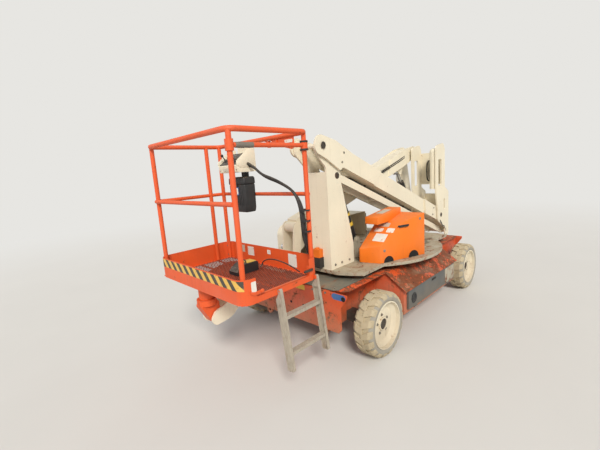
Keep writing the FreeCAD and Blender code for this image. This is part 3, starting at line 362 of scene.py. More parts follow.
def lattice_tree():
    """Expanded metal: crossing strands on two staggered grids, inside a rectangle with round corners."""
    overlap, thickness, tilt = 1.02, 0.9, 0.16
    lengths = ("Length", "Width", "Long pitch", "Short pitch", "Strand", "Corner")
    tree = Tree("Expanded metal", [(label, "NodeSocketFloat") for label in lengths]
                + [("Centre", "NodeSocketVector")])
    size = tree.input
    place = tree.add("ShaderNodeSeparateXYZ", {0: tree.add("GeometryNodeInputPosition").outputs[0]}).outputs
    squares = []
    for coordinate, whole in ((place[0], "Length"), (place[1], "Width")):
        straight = tree.minus(tree.times(size[whole], 0.5), size["Corner"])
        past = tree.minus(tree.math("ABSOLUTE", coordinate), straight)
        squares.append(tree.math("POWER", tree.math("MAXIMUM", past), 2.0))
    outside = tree.math("GREATER_THAN", tree.math("SQRT", tree.plus(*squares)), size["Corner"])
    long_half = tree.math("DIVIDE", size["Long pitch"], 2.0)
    short_half = tree.math("DIVIDE", size["Short pitch"], 2.0)
    square = tree.plus(tree.times(long_half, long_half), tree.times(short_half, short_half))
    strand_length = tree.math("SQRT", square)
    slope = tree.math("ARCTAN2", short_half, long_half)
    crossing = tree.add("GeometryNodeJoinGeometry")
    for sign in (1.0, -1.0):
        section = tree.add("ShaderNodeCombineXYZ", {
            "X": size["Strand"], "Y": tree.times(strand_length, overlap),
            "Z": tree.times(size["Strand"], thickness)})
        strand = tree.add("GeometryNodeMeshCube", {"Size": section.outputs[0]})
        turn = tree.add("ShaderNodeCombineXYZ", {"X": sign * tilt, "Z": tree.times(slope, sign)})
        tree.join(tree.moved(strand.outputs[0], Rotation=turn.outputs[0]), crossing.inputs[0])
    both = tree.add("GeometryNodeJoinGeometry")
    columns = tree.math("FLOOR", tree.math("DIVIDE", size["Width"], size["Long pitch"]))
    rows = tree.math("FLOOR", tree.math("DIVIDE", size["Length"], size["Short pitch"]))
    for shift in (0.0, 0.5):
        grid = tree.add("GeometryNodeMeshGrid", {
            "Size X": tree.times(rows, size["Short pitch"]),
            "Size Y": tree.times(columns, size["Long pitch"]),
            "Vertices X": tree.plus(rows, 1.0), "Vertices Y": tree.plus(columns, 1.0)})
        offset = tree.add("ShaderNodeCombineXYZ", {
            "X": tree.times(size["Short pitch"], shift), "Y": tree.times(size["Long pitch"], shift)})
        placed = tree.moved(grid.outputs[0], Translation=offset.outputs[0])
        kept = tree.add("GeometryNodeDeleteGeometry", {"Geometry": placed, "Selection": outside})
        tree.join(tree.copies(crossing.outputs[0], Points=kept.outputs[0]), both.inputs[0])
    return tree.close(tree.moved(both.outputs[0], Translation=size["Centre"]))


def bolt_on(name, body, slot, places, look="zinc"):
    """Hexagon heads on one body from (place, facing, size in millimetres)."""
    data = bpy.data.meshes.new(name)
    data.from_pydata([place for place, _, _ in places], [], [])
    data.attributes.new("aim", "FLOAT_VECTOR", "POINT")
    data.attributes.new("size", "FLOAT", "POINT")
    for i, (_, aim, size) in enumerate(places):
        data.attributes["aim"].data[i].vector = Vector(aim).normalized()
        data.attributes["size"].data[i].value = size / 1000
    fastener_tree().grow(name, body, slot, look, {}, points=data)


def hoses(name, body, slot, runs, look="hose"):
    """Hoses of one body, each from (radius, list of places), as one mesh."""
    form = Form()
    for radius, places in runs:
        curve = bpy.data.curves.new(name, "CURVE")
        curve.dimensions = "3D"
        curve.bevel_depth = radius / 1000
        curve.bevel_resolution = 3
        curve.use_fill_caps = True
        curve.resolution_u = 5
        spline = curve.splines.new("NURBS")
        spline.points.add(len(places) - 1)
        for point, place in zip(spline.points, places):
            point.co = (*place, 1)
        spline.order_u = 3
        spline.use_endpoint_u = True
        holder = linked(name, curve)
        form.mesh.from_mesh(evaluated_mesh(holder))
        bpy.data.objects.remove(holder)
    form.finish(name, body, slot, look, smooth=60)


# Settings that a user would change
def colour_setting(name, description, default):
    """A paint colour that a user can change."""
    return bpy.props.FloatVectorProperty(
        name=name, description=description, subtype="COLOR_GAMMA", size=3, min=0, max=1, default=default)


def length_setting(name, description, default, low, high):
    """A length in metres that a user can change."""
    return bpy.props.FloatProperty(
        name=name, description=description, default=default, min=low, max=high, unit="LENGTH")


class PaintSettings(bpy.types.PropertyGroup):
    """Colours of the machine's finishes."""

    cream: colour_setting("Cream paint", "Arms, upright, right hood and rims", (0.90, 0.86, 0.76))
    orange: colour_setting("Orange paint", "Platform, chassis and rotator", (0.87, 0.34, 0.13))
    amber: colour_setting("Amber paint", "Left hood", (0.93, 0.46, 0.06))
    tyre: colour_setting("Tyre rubber", "Pale solid rubber", (0.72, 0.66, 0.54))
    rust: bpy.props.FloatProperty(
        name="Rust", description="How much paint has gone from the deck",
        subtype="FACTOR", min=0, max=1, default=0.8)


class TreadSettings(bpy.types.PropertyGroup):
    """Lugs of the tyres."""

    count: bpy.props.IntProperty(
        name="Lugs", description="Lugs on each half of a tyre", default=18, min=6, max=40)
    depth: length_setting("Depth", "Height of a lug above the carcass", 0.014, 0.002, 0.03)


class LatticeSettings(bpy.types.PropertyGroup):
    """Expanded metal of the platform floor."""

    long_pitch: length_setting("Long pitch", "Length of a mesh opening", 0.062, 0.01, 0.2)
    short_pitch: length_setting("Short pitch", "Width of a mesh opening", 0.030, 0.005, 0.1)
    strand: length_setting("Strand", "Width of a strand", 0.0052, 0.001, 0.01)


class StripeSettings(bpy.types.PropertyGroup):
    """Hazard stripes of the front toe board."""

    width: length_setting("Stripe", "Width of one stripe along the board", 0.052, 0.01, 0.2)
    height: length_setting("Band height", "Height of the striped band", 0.068, 0.01, 0.2)


class LiftSettings(bpy.types.PropertyGroup):
    """All settings of the boom lift's looks."""

    paint: bpy.props.PointerProperty(type=PaintSettings)
    tread: bpy.props.PointerProperty(type=TreadSettings)
    lattice: bpy.props.PointerProperty(type=LatticeSettings)
    stripes: bpy.props.PointerProperty(type=StripeSettings)


# Materials
def linear(colour):
    """A screen colour from 0 to 1 as a shader colour."""
    return (*Color(colour).from_srgb_to_scene_linear(), 1.0)


def screen(red, green, blue):
    """A colour given in screen values from 0 to 255, as a shader colour."""
    return linear((red / 255, green / 255, blue / 255))


def shade(colour, factor):
    """A shader colour made lighter or darker."""
    return (*(min(1.0, channel * factor) for channel in colour[:3]), 1.0)


class Finish(Nodes):
    """Builds one procedural material on object coordinates."""

    def __init__(self, name):
        self.material = bpy.data.materials.new(name)
        self.material.use_nodes = True
        super().__init__(self.material.node_tree)
        self.shader = next(node for node in self.tree.nodes if node.type == "BSDF_PRINCIPLED")
        place = self.add("ShaderNodeTexCoord")
        self.place = place.outputs["Object"]
        split = self.add("ShaderNodeSeparateXYZ", {0: self.place})
        self.x, self.y, self.z = split.outputs
        normal = self.add("ShaderNodeSeparateXYZ", {0: place.outputs["Normal"]})
        self.upward = normal.outputs["Z"]

    def noise(self, scale, detail=4.0, roughness=0.55, stretch=None, warp=0.0):
        """Noise from 0 to 1, its pattern stretched per axis where that is given."""
        place = self.place
        if stretch:
            place = self.add("ShaderNodeMapping", {"Vector": place, "Scale": stretch}).outputs[0]
        node = self.add("ShaderNodeTexNoise", {
            "Vector": place, "Scale": scale, "Detail": detail, "Roughness": roughness, "Distortion": warp})
        return node.outputs["Fac"]

    def band(self, value, low, high):
        """0 below low, 1 above high, smooth between."""
        node = self.add("ShaderNodeMapRange", {"Value": value, "From Min": low, "From Max": high},
                        interpolation_type="SMOOTHSTEP")
        return node.outputs["Result"]

    def mix(self, factor, first, second):
        """A colour between two."""
        node = self.add("ShaderNodeMix", {0: factor, 6: first, 7: second}, data_type="RGBA")
        return node.outputs[2]

    def blend(self, factor, first, second):
        """A number between two."""
        node = self.add("ShaderNodeMix", {0: factor, 2: first, 3: second}, data_type="FLOAT")
        return node.outputs[0]

    def close(self, colour, roughness, height=None, strength=0.3, metal=0.0, distance=0.002):
        """Link the finished colour, roughness and bump to the shader."""
        self.join(colour, self.shader.inputs["Base Color"])
        self.join(roughness, self.shader.inputs["Roughness"])
        self.join(metal, self.shader.inputs["Metallic"])
        if height is not None:
            bump = self.add("ShaderNodeBump", {"Height": height, "Strength": strength, "Distance": distance})
            self.join(bump.outputs[0], self.shader.inputs["Normal"])
        return self.material


RUST_DARK = screen(62, 34, 22)
RUST_LIGHT = screen(138, 74, 40)
SOIL = screen(150, 128, 100)
SOOT = screen(38, 34, 30)


def worn_paint(name, colour, chips=0.70, grime=0.5, dust=0.35, gloss=0.42, pale=0.25, low_dirt=0.0):
    """Old paint: faded patches, vertical run-off, chips down to rust, and dust on upward faces."""
    look = Finish(name)
    tone = look.mix(look.noise(3.1, 5), shade(colour, 0.86), shade(colour, 1.10))
    faded = look.times(look.band(look.noise(1.7, 3), 0.42, 0.75), pale)
    tone = look.mix(faded, tone, chalky(colour))
    streaks = look.band(look.noise(1.0, 6, 0.6, (34, 34, 2.2)), 0.54, 0.80)
    tone = look.mix(look.times(streaks, grime), tone, shade(SOOT, 2.6))
    specks = look.band(look.noise(120, 3, 0.6), 0.68, 0.74)
    tone = look.mix(look.times(specks, 0.45), tone, shade(SOOT, 1.6))
    wear = look.plus(look.times(look.noise(9, 9, 0.68, warp=0.6), 0.75),
                     look.times(look.noise(46, 6, 0.6), 0.25))
    halo = look.band(wear, chips - 0.075, chips)
    tone = look.mix(look.times(halo, 0.45), tone, RUST_LIGHT)
    bare = look.band(wear, chips - 0.008, chips + 0.012)
    rust = look.mix(look.noise(70, 6, 0.7), RUST_DARK, RUST_LIGHT)
    tone = look.mix(bare, tone, rust)
    powder = look.times(look.band(look.upward, 0.35, 0.95), look.band(look.noise(6, 6, 0.65), 0.30, 0.75))
    tone = look.mix(look.times(powder, dust), tone, SOIL)
    if low_dirt:
        ragged = look.plus(look.z, look.times(look.noise(8, 5), 0.35))
        splash = look.times(look.band(ragged, 0.72, 0.30), low_dirt)
        tone = look.mix(splash, tone, SOIL)
    rough = look.blend(bare, look.blend(look.noise(14, 5), gloss, gloss + 0.22), 0.86)
    rough = look.blend(powder, rough, 0.85)
    height = look.minus(look.times(look.noise(240, 2), 0.12), look.times(bare, 0.5))
    return look.close(tone, rough, height, 0.35)


def chalky(colour):
    """The chalky colour that a paint fades to."""
    grey = sum(colour[:3]) / 3
    return (*(channel * 0.62 + grey * 0.22 + 0.14 for channel in colour[:3]), 1.0)


def deck_paint(orange, rust):
    """Deck plates: trodden orange paint with wide rust, and grey-green on what stands above the deck."""
    look = Finish("deck_paint")
    wear = look.plus(look.times(look.noise(5.5, 8, 0.7, warp=0.8), 0.6),
                     look.times(look.noise(38, 8, 0.72), 0.4))
    edge = 0.62 - rust * 0.2
    bare = look.band(wear, edge - 0.02, edge + 0.03)
    paint = look.mix(look.noise(4, 5), shade(orange, 0.62), shade(orange, 1.02))
    brown = look.mix(look.noise(26, 8, 0.7), shade(RUST_DARK, 0.75), shade(RUST_LIGHT, 1.25))
    trodden = look.mix(bare, paint, brown)
    patch = look.band(look.noise(2.2, 4), 0.60, 0.70)
    trodden = look.mix(look.times(patch, 0.2), trodden, screen(120, 108, 100))
    green = look.mix(look.noise(5, 6), screen(92, 94, 86), screen(138, 137, 124))
    scrape = look.band(look.noise(11, 8, 0.7, warp=0.5), 0.60, 0.66)
    green = look.mix(scrape, green, screen(96, 70, 52))
    above = look.band(look.z, 0.6004, 0.6008)
    tone = look.mix(above, trodden, green)
    soiled = look.times(look.band(look.noise(9, 7, 0.7), 0.48, 0.72), 0.5)
    tone = look.mix(soiled, tone, SOIL)
    height = look.minus(look.noise(90, 5), look.times(bare, 0.8))
    return look.close(tone, look.blend(bare, 0.55, 0.88), height, 0.5)


def rubber_finish(colour):
    """Pale tyre rubber with soil in its low places and dark scuffs."""
    look = Finish("tyre_rubber")
    tone = look.mix(look.noise(7, 6), shade(colour, 0.78), shade(colour, 1.08))
    scuffs = look.band(look.noise(24, 8, 0.7, warp=0.7), 0.56, 0.72)
    tone = look.mix(look.times(scuffs, 0.55), tone, screen(112, 98, 80))
    cracks = look.band(look.noise(60, 4, 0.6), 0.62, 0.70)
    tone = look.mix(look.times(cracks, 0.4), tone, screen(88, 76, 62))
    return look.close(tone, look.blend(scuffs, 0.78, 0.92), look.noise(110, 6, 0.7), 0.45)


def sidewall_finish():
    """Grey tyre flank."""
    look = Finish("tyre_flank")
    tone = look.mix(look.noise(5, 6), screen(132, 126, 114), screen(168, 162, 148))
    dirt = look.band(look.noise(20, 7, 0.7), 0.52, 0.70)
    tone = look.mix(look.times(dirt, 0.5), tone, screen(120, 104, 84))
    return look.close(tone, 0.86, look.noise(80, 5), 0.35)


def metal_finish(name, dark, light, metal, rough, rust=0.0, scale=18.0, stretch=None):
    """Bare or plated metal with handling marks, and rust where it is given."""
    look = Finish(name)
    tone = look.mix(look.noise(scale, 6, 0.6, stretch), dark, light)
    stain = look.times(look.band(look.noise(12, 8, 0.7, warp=0.5), 0.50, 0.68), rust)
    tone = look.mix(stain, tone, look.mix(look.noise(60, 5), RUST_DARK, RUST_LIGHT))
    roughness = look.blend(stain, look.blend(look.noise(30, 6), rough, rough + 0.2), 0.9)
    return look.close(tone, roughness, look.noise(140, 4), 0.2, look.blend(stain, metal, 0.1))


def dull_finish(name, dark, light, rough=0.6, grain=160.0, dust=0.3):
    """Rubber, plastic, film or plain dark paint with fine grain and dust, and the painted shade that stands
    for holes.
    """
    look = Finish(name)
    tone = look.mix(look.noise(9, 6), dark, light)
    powder = look.times(look.band(look.upward, 0.2, 0.95), look.band(look.noise(12, 6, 0.7), 0.35, 0.75))
    tone = look.mix(look.times(powder, dust), tone, SOIL)
    rough = look.blend(look.noise(22, 5), rough - 0.08, rough + 0.14)
    return look.close(tone, rough, look.noise(grain, 3), 0.22)


def label_finish(name, paper, mark):
    """Blank film label, scuffed at random down to the paint's colour."""
    look = Finish(name)
    tone = look.mix(look.noise(18, 6), shade(paper, 0.82), paper)
    worn = look.band(look.noise(34, 8, 0.7, warp=0.4), 0.585, 0.63)
    tone = look.mix(look.times(worn, 0.8), tone, mark)
    return look.close(tone, 0.5, look.minus(1.0, worn), 0.15)


def stripe_finish(width):
    """Slanted yellow and black stripes, worn."""
    look = Finish("hazard_stripes")
    along = look.plus(look.y, look.times(look.z, 0.85))
    wave = look.math("FRACT", look.math("DIVIDE", along, 2 * width))
    edge = look.plus(wave, look.times(look.minus(look.noise(70, 4), 0.5), 0.05))
    dark = look.band(edge, 0.49, 0.51)
    tone = look.mix(dark, screen(222, 178, 84), screen(70, 66, 58))
    scuff = look.band(look.noise(30, 8, 0.7, warp=0.6), 0.55, 0.66)
    tone = look.mix(look.times(scuff, 0.7), tone, screen(170, 120, 84))
    return look.close(tone, 0.58, look.noise(90, 4), 0.25)


def motor_finish(amber):
    """Swing drive: orange cap over a black body."""
    look = Finish("drive_paint")
    body = look.mix(look.noise(14, 6), screen(20, 20, 20), screen(52, 48, 44))
    cap = look.mix(look.noise(8, 6), shade(amber, 0.7), amber)
    tone = look.mix(look.band(look.z, 0.799, 0.801), body, cap)
    return look.close(tone, look.blend(look.noise(20, 4), 0.45, 0.7), look.noise(120, 4), 0.25)


class BOOMLIFT_OT_finishes(bpy.types.Operator):
    """Make the materials and give each CAD node its own"""

    bl_idname = "boomlift.finishes"
    bl_label = "Finishes"

    def execute(self, context):
        paint = context.scene.boom_lift.paint
        cream, orange = linear(paint.cream), linear(paint.orange)
        amber, rubber = linear(paint.amber), linear(paint.tyre)
        FINISH.update({
            "cream": worn_paint("cream_paint", cream, chips=0.675, grime=0.10, pale=0.15),
            "cream_rim": worn_paint("rim_paint", shade(cream, 1.02), chips=0.66, grime=0.2, low_dirt=0.45),
            "orange": worn_paint("orange_paint", orange, chips=0.655, grime=0.22, pale=0.12),
            "chassis": worn_paint(
                "chassis_paint", shade(orange, 0.82), chips=0.58, grime=0.55, low_dirt=0.55),
            "amber": worn_paint("amber_paint", amber, chips=0.70, grime=0.12, pale=0.12),
            "grey": worn_paint(
                "grey_paint", screen(72, 78, 78), chips=0.69, grime=0.3, low_dirt=0.35, pale=0.2),
            "green": worn_paint("plate_green", screen(96, 98, 88), chips=0.60, grime=0.6, dust=0.6, pale=0.2),
            # painted shade: near-black for the patches that stand for holes, slots and vent mouths
            "hole": dull_finish("dark_hole", screen(10, 10, 10), screen(22, 20, 19), 0.8),
            "table": worn_paint("table_paint", screen(168, 160, 138), chips=0.57, grime=0.6, dust=0.7),
            "black": worn_paint(
                "black_paint", screen(34, 33, 32), chips=0.68, grime=0.2, gloss=0.32, pale=0.1),
            "deck": deck_paint(orange, paint.rust),
            "axle": metal_finish("axle_steel", screen(52, 48, 44), screen(96, 88, 78), 0.5, 0.6, 0.8),
            "bearing": metal_finish(
                "bearing_steel", screen(70, 66, 60), screen(120, 112, 100), 0.7, 0.45, 0.6),
            "chrome": metal_finish(
                "chrome_rod", screen(176, 178, 180), screen(222, 224, 226), 1.0, 0.12, 0.08),
            "zinc": metal_finish(
                "zinc_steel", screen(120, 116, 108), screen(178, 172, 160), 0.85, 0.42, 0.45),
            "ladder": metal_finish(
                "ladder_aluminium", screen(138, 128, 112), screen(206, 196, 178), 0.35, 0.55, 0.30,
                scale=26.0, stretch=(3, 3, 0.7)),
            "lattice": dull_finish("lattice_paint", screen(92, 40, 28), screen(150, 74, 50), 0.8, dust=0.05),
            "tyre": rubber_finish(rubber),
            "flank": sidewall_finish(),
            "motor": motor_finish(amber),
            "hose": dull_finish("hose_rubber", screen(26, 25, 24), screen(58, 54, 50), 0.62),
            "grey_hose": dull_finish("sleeve_grey", screen(96, 90, 82), screen(138, 130, 118), 0.7),
            "plastic": dull_finish("black_plastic", screen(24, 24, 25), screen(48, 48, 48), 0.55, 220.0, 0.4),
            "panel": dull_finish("control_panel", screen(40, 42, 44), screen(66, 68, 68), 0.5),
            "red": dull_finish("red_plastic", screen(158, 26, 20), screen(196, 44, 32), 0.35, dust=0.1),
            "yellow": dull_finish(
                "yellow_plastic", screen(206, 160, 36), screen(230, 188, 70), 0.45, dust=0.2),
            "blue": dull_finish("blue_touch_up", screen(44, 84, 140), screen(78, 118, 168), 0.5, dust=0.2),
            "label": label_finish("white_label", screen(232, 228, 216), screen(206, 120, 84)),
            "label_grey": label_finish("grey_label", screen(196, 188, 170), screen(150, 110, 84)),
            "label_yellow": label_finish("yellow_label", screen(222, 184, 60), screen(120, 100, 70)),
            "stripes": stripe_finish(context.scene.boom_lift.stripes.width),
        })
        groups = {
            "cream": ("tower_support", "hood_right", "tower_arm", "tower_link", "upright", "main_boom",
                      "fly_boom", "tip_bracket", "jib", "platform_console"),
            "cream_rim": tuple(f"rim_{end}_{side}" for _, end in ENDS for _, side in SIDES),
            "orange": ("toe_boards", "platform_rails", "rotator_housing", "platform_support", "entry_bar",
                       "platform_floor"),
            "chassis": ("chassis_frame",),
            "amber": ("hood_left",),
            "deck": ("deck_plates",),
            "grey": ("side_door_left", "side_door_right"),
            "table": ("turntable_plate",),
            "motor": ("swing_motor",),
            "axle": ("front_axle", "rear_axle", "steering_knuckle_left", "steering_knuckle_right"),
            "bearing": ("swing_bearing",),
            "black": ("tower_cylinder_barrel", "lift_cylinder_barrel", "jib_cylinder_barrel"),
            "chrome": ("tower_cylinder_rod", "lift_cylinder_rod", "jib_cylinder_rod"),
            "plastic": ("document_box", "foot_switch"),
            "ladder": ("ladder",),
            "tyre": tuple(f"tyre_{end}_{side}" for _, end in ENDS for _, side in SIDES),
        }
        for finish, nodes in groups.items():
            for name in nodes:
                for holder in frame["nodes"][name].material_slots:
                    holder.material = FINISH[finish]
        return {"FINISHED"}


# Pieces
def reach(node):
    """A node's box at rest: three (low, high) pairs in millimetres from the swing axis."""
    low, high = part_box(node)
    return [((low[i] - SWING[i] * (i < 2)) * 1000, (high[i] - SWING[i] * (i < 2)) * 1000) for i in range(3)]


def film(place, u, v, surface, out, gauge=0.8, corner=4):
    """A thin label with cut corners that lies on a surface."""
    (u_low, u_high), (v_low, v_high) = u, v
    outline = [(u_low + corner, v_low), (u_high - corner, v_low), (u_high, v_low + corner),
               (u_high, v_high - corner), (u_high - corner, v_high), (u_low + corner, v_high),
               (u_low, v_high - corner), (u_low, v_low + corner)]
    return Form().prism(place, outline, surface, surface + out * gauge)


def washer(inner, outer, low, high):
    """Profile of a plain ring for Form.turned."""
    return [(inner, low), (outer, low), (outer, high), (inner, high)]


def hole_shade_disc(radius):
    """Profile of a thin dark round patch: painted shade that stands for a hole."""
    return washer(0, radius, 0.2, 1)


def tapered(x, y, levels):
    """An upright box drawn in by some millimetres at each height, and by half of that at its back."""
    (back, front), (right, left) = x, y
    return Form().loft([[spot(a, b, z) for a, b in (
        (back + drawn / 2, right + drawn), (front - drawn, right + drawn),
        (front - drawn, left - drawn), (back + drawn / 2, left - drawn))] for z, drawn in levels])


def mirrored(half):
    """A closed outline from its left half, which runs from one end on the middle line to the other."""
    return half + [(-y, z) for y, z in reversed(half)]


def row_of(block, name, count, step, look):
    """Copies of a block in a row on the platform; the block itself goes."""
    row_tree().grow(name, "platform", "black_plastic", look, {"Block": block, "Count": count, "Step": step})
    bpy.data.objects.remove(block)


def tyre_lugs(radius, half_width, crown, pitch):
    """One lug on each half of a tyre, half a pitch apart, each lofted from the middle to the shoulder."""
    root = crown - 5
    rows = [(-8, 0, 50, radius, root), (28, 10, 66, radius, root), (60, 24, 88, radius, root),
            (80, 30, 96, 267, 246), (half_width - 0.4, 31, 97, 243, 240)]
    lugs = Form()
    for side, shift in ((1, 0.0), (-1, pitch / 2)):
        outlines = []
        for y, start, stop, top, base in rows:
            corners = ((start, base), (start, top), (stop, top), (stop, base))
            outlines.append([Vector((r * math.cos((s + shift) / radius), side * y,
                                     r * math.sin((s + shift) / radius))) / 1000 for s, r in corners])
        lugs.loft(outlines)
    return lugs.shape("lug_block", bevel=2.5, segments=1)


class BOOMLIFT_OT_tyres(bpy.types.Operator):
    """Four tyres: a crowned carcass with staggered lugs on both halves"""

    bl_idname = "boomlift.tyres"
    bl_label = "Tyres"

    def execute(self, context):
        tread = context.scene.boom_lift.tread
        radius, half_width, steps = 280, 89, 72
        crown = radius - tread.depth * 1000
        flank = [(crown, 60), (250, 84), (238, 88.6), (226, 86.5), (214, 87.4), (206, 80), (205.3, 78)]
        flanks = [(r, -y) for r, y in reversed(flank)] + flank
        tread_base = [(crown - 6, -62), (crown + 0.8, -60), (crown + 0.8, 60), (crown - 6, 62)]
        block = tyre_lugs(radius, half_width, crown, 2 * math.pi * radius / tread.count)
        tree = ring_tree()
        for end, place in ENDS:
            for side, word in SIDES:
                wheel = f"{place}_{word}"
                body = f"wheel_{wheel}"
                centre = pivot(f"{body}_spin")
                out = (0, side, 0)
                carcass = Form().turned(centre, out, flanks, steps)
                carcass = carcass.finish(f"carcass_{wheel}", body, "tyre", "flank", smooth=50)
                lugs = tree.grow(f"lugs_{wheel}", body, "tyre", "tyre", {
                    "Block": block, "Count": tread.count, "Phase": 0.25 * (side + end), "Centre": centre})
                band = Form().turned(centre, out, tread_base, steps)
                band.finish(f"tread_base_{wheel}", body, "tyre", "tyre", smooth=50)
                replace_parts(carcass, f"tyre_{wheel}")
                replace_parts(lugs, f"tyre_{wheel}")
        bpy.data.objects.remove(block)
        return {"FINISHED"}


class BOOMLIFT_OT_wheel_nuts(bpy.types.Operator):
    """Wheel nuts, hub cup and valve of each rim"""

    bl_idname = "boomlift.wheel_nuts"
    bl_label = "Wheel nuts"

    def execute(self, context):
        dish, circle, count, nut = 813, 0.082, 5, 10
        cup = [(0, 2), (30, 2), (30, 11), (40, 15), (46, 15), (47, 12), (47, 1), (0, 1)]
        angles = [2 * math.pi * (k + 0.2) / count for k in range(count)]
        for _, place in ENDS:
            for side, word in SIDES:
                wheel = f"{place}_{word}"
                body = f"wheel_{wheel}"
                centre = pivot(f"{body}_spin")
                face = side * dish / 1000
                out = (0, side, 0)
                middle = Vector((centre.x, face, centre.z))
                bolt_on(f"wheel_nuts_{wheel}", body, "bare_steel", [
                    (middle + Vector((circle * math.cos(a), 0, circle * math.sin(a))), out, nut)
                    for a in angles])
                start = Vector((centre.x, face - side * 0.004, centre.z))
                mouth = Form().turned(start, out, cup, 32)
                mouth.finish(f"hub_cup_{wheel}", body, "bare_steel", "axle", smooth=40)
                valve = Vector((centre.x + 0.13, face, centre.z + 0.05))
                stem = Form().rod(valve, valve + Vector((0, side * 0.02, 0)), 4, 10)
                stem.finish(f"valve_{wheel}", body, "bare_steel", "hose")
        return {"FINISHED"}


class BOOMLIFT_OT_platform_floor(bpy.types.Operator):
    """Expanded-metal floor of the platform on its frame"""

    bl_idname = "boomlift.platform_floor"
    bl_label = "Platform floor"

    def execute(self, context):
        sizes = context.scene.boom_lift.lattice
        low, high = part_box("platform_floor")
        edge, lift, corner = 0.034, 0.0098, 0.076
        middle = Vector(((low[0] + high[0]) / 2, (low[1] + high[1]) / 2, low[2] + lift))
        mesh = lattice_tree().grow("floor_mesh", "platform", "bare_steel", "lattice", {
            "Length": high[0] - low[0] - edge, "Width": high[1] - low[1] - edge, "Corner": corner,
            "Long pitch": sizes.long_pitch, "Short pitch": sizes.short_pitch, "Strand": sizes.strand,
            "Centre": middle}, smooth=20)
        left, right, rear, front = 555, -655, 1482, 2203
        half_bar, clear = 12, 24
        bars = Form()
        for x in (rear + 14, 1660, 1842, 2024, front - 14):
            bars.block(flat, (x - half_bar, x + half_bar), (right + clear, left - clear), (784, 790))
        for y in (right + 16, (left + right) / 2, left - 16):
            bars.block(flat, (rear + clear, front - clear), (y - half_bar, y + half_bar), (783.5, 789.5))
        bars = bars.finish("floor_bars", "platform", "orange_paint", "orange", bevel=0.8)
        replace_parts(mesh, "platform_floor")
        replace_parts(bars, "platform_floor")
        return {"FINISHED"}


def lever(form, start, up, height):
    """A joystick: boot, stem and grip, standing on a panel."""
    boot = [(0, -2), (17, -2), (18, 3), (14, 6), (15, 9), (11, 13), (11, 16), (5, 20), (0, 20)]
    grip = [(0, 14), (4, 14), (4, height - 26), (9, height - 22), (12, height - 12), (10, height - 2),
            (5, height), (0, height)]
    for profile in (boot, grip):
        form.turned(start, up, profile, 20)


class BOOMLIFT_OT_console(bpy.types.Operator):
    """Control box of the platform: dark panel, levers, switches, stop button, cheeks and rail plate"""

    bl_idname = "boomlift.console"
    bl_label = "Console"

    def execute(self, context):
        (_, front), (right, left), (low, _) = reach("platform_console")
        back = 1523
        panel = Beam(spot(front, 0, low + 60), spot(back + 60, 0, low + 160))
        width, up, top = panel.length, panel.up, 5
        plate = Form().block(panel.at, (5, width - 3), (right + 8, left - 8), (0.2, top))
        plate.finish("console_panel", "platform", "black_plastic", "panel", bevel=2)
        cheek = [(back + 4, low + 40), (front - 30, low + 40), (front + 4, low + 64), (front + 4, low + 92),
                 (back + 70, low + 196), (back + 4, low + 196)]
        cheeks = Form()
        for side in (right - 3.2, left + 0.2):
            cheeks.prism(across, cheek, side, side + 3)
        cheeks.finish("console_cheeks", "platform", "cream_paint", "cream", bevel=0.8)
        sticks = Form()
        lever(sticks, panel.at(50, left - 62, top), up, 92)
        lever(sticks, panel.at(58, right + 56, top), up, 74)
        sticks.finish("console_levers", "platform", "black_plastic", "plastic", smooth=40)
        ring = [(0, -1), (19, -1), (19, 3), (9, 4), (9, 12), (0, 12)]
        stop = Form().turned(panel.at(40, right + 148, top), up, ring, 28)
        stop.finish("console_stop_ring", "platform", "black_plastic", "yellow", smooth=40)
        button = Form().knob(panel.at(40, right + 148, top + 9), up, 18, 13, 28)
        button.finish("console_stop", "platform", "black_plastic", "red", smooth=50)
        toggles = Form()
        for k in range(6):
            foot = panel.at(104, right + 46 + k * 36, top)
            toggles.turned(foot, up, [(0, -1), (6.5, -1), (6.5, 3), (4, 4), (4, 7), (0, 7)], 12)
            lean = (up + panel.along * (0.35 if k % 2 else -0.35)).normalized()
            toggles.turned(foot, lean, [(0, 5), (2.2, 5), (3, 20), (2, 22), (0, 22)], 10)
        toggles.finish("console_toggles", "platform", "chrome_rod", "zinc", smooth=40)
        lock = [(0, -1), (11, -1), (11, 5), (8, 7), (0, 7)]
        key = Form().turned(panel.at(74, right + 206, top), up, lock, 24)
        key.block(panel.at, (66, 82), (right + 204.8, right + 207.2), (11, 26))
        key.finish("console_key", "platform", "chrome_rod", "zinc", smooth=40)
        screws = [(spot(front - 5, y, low + 22), (1, 0, 0), 4) for y in (right + 16, left - 16)]
        screws += [(panel.at(u, y, top), up, 3.4) for u in (12, width - 10) for y in (right + 15, left - 15)]
        bolt_on("console_screws", "platform", "bare_steel", screws)
        label = film(facing, (right + 60, left - 60), (low + 14, low + 52), front - 3.6, 1)
        label.finish("console_label", "platform", "black_plastic", "label_grey")
        near, far = 1496, 1503
        outline = [(40, 1881), (400, 1881), (400, 1796), (372, 1786), (150, 1842)]
        gusset = Form().prism(facing, outline, near, far)
        for y in (104, 208):
            gusset.block(facing, (y, y + 8), (1820, 1876), (1484, 1516))
        gusset.finish("rail_gusset", "platform", "orange_paint", "orange", bevel=1.2)
        label = film(facing, (300, 388), (1838, 1862), far, 1)
        label.finish("gusset_label", "platform", "orange_paint", "label")
        wire = 3.4
        ring = [(17 + wire * math.cos(a), wire * math.sin(a)) for a in [k * math.pi / 4 for k in range(8)]]
        loop = Form().turned(spot(1508, 124, 1862), (1, 0.3, 0.1), ring, 28)
        loop.finish("lanyard_ring", "platform", "chrome_rod", "chrome", smooth=60)
        return {"FINISHED"}


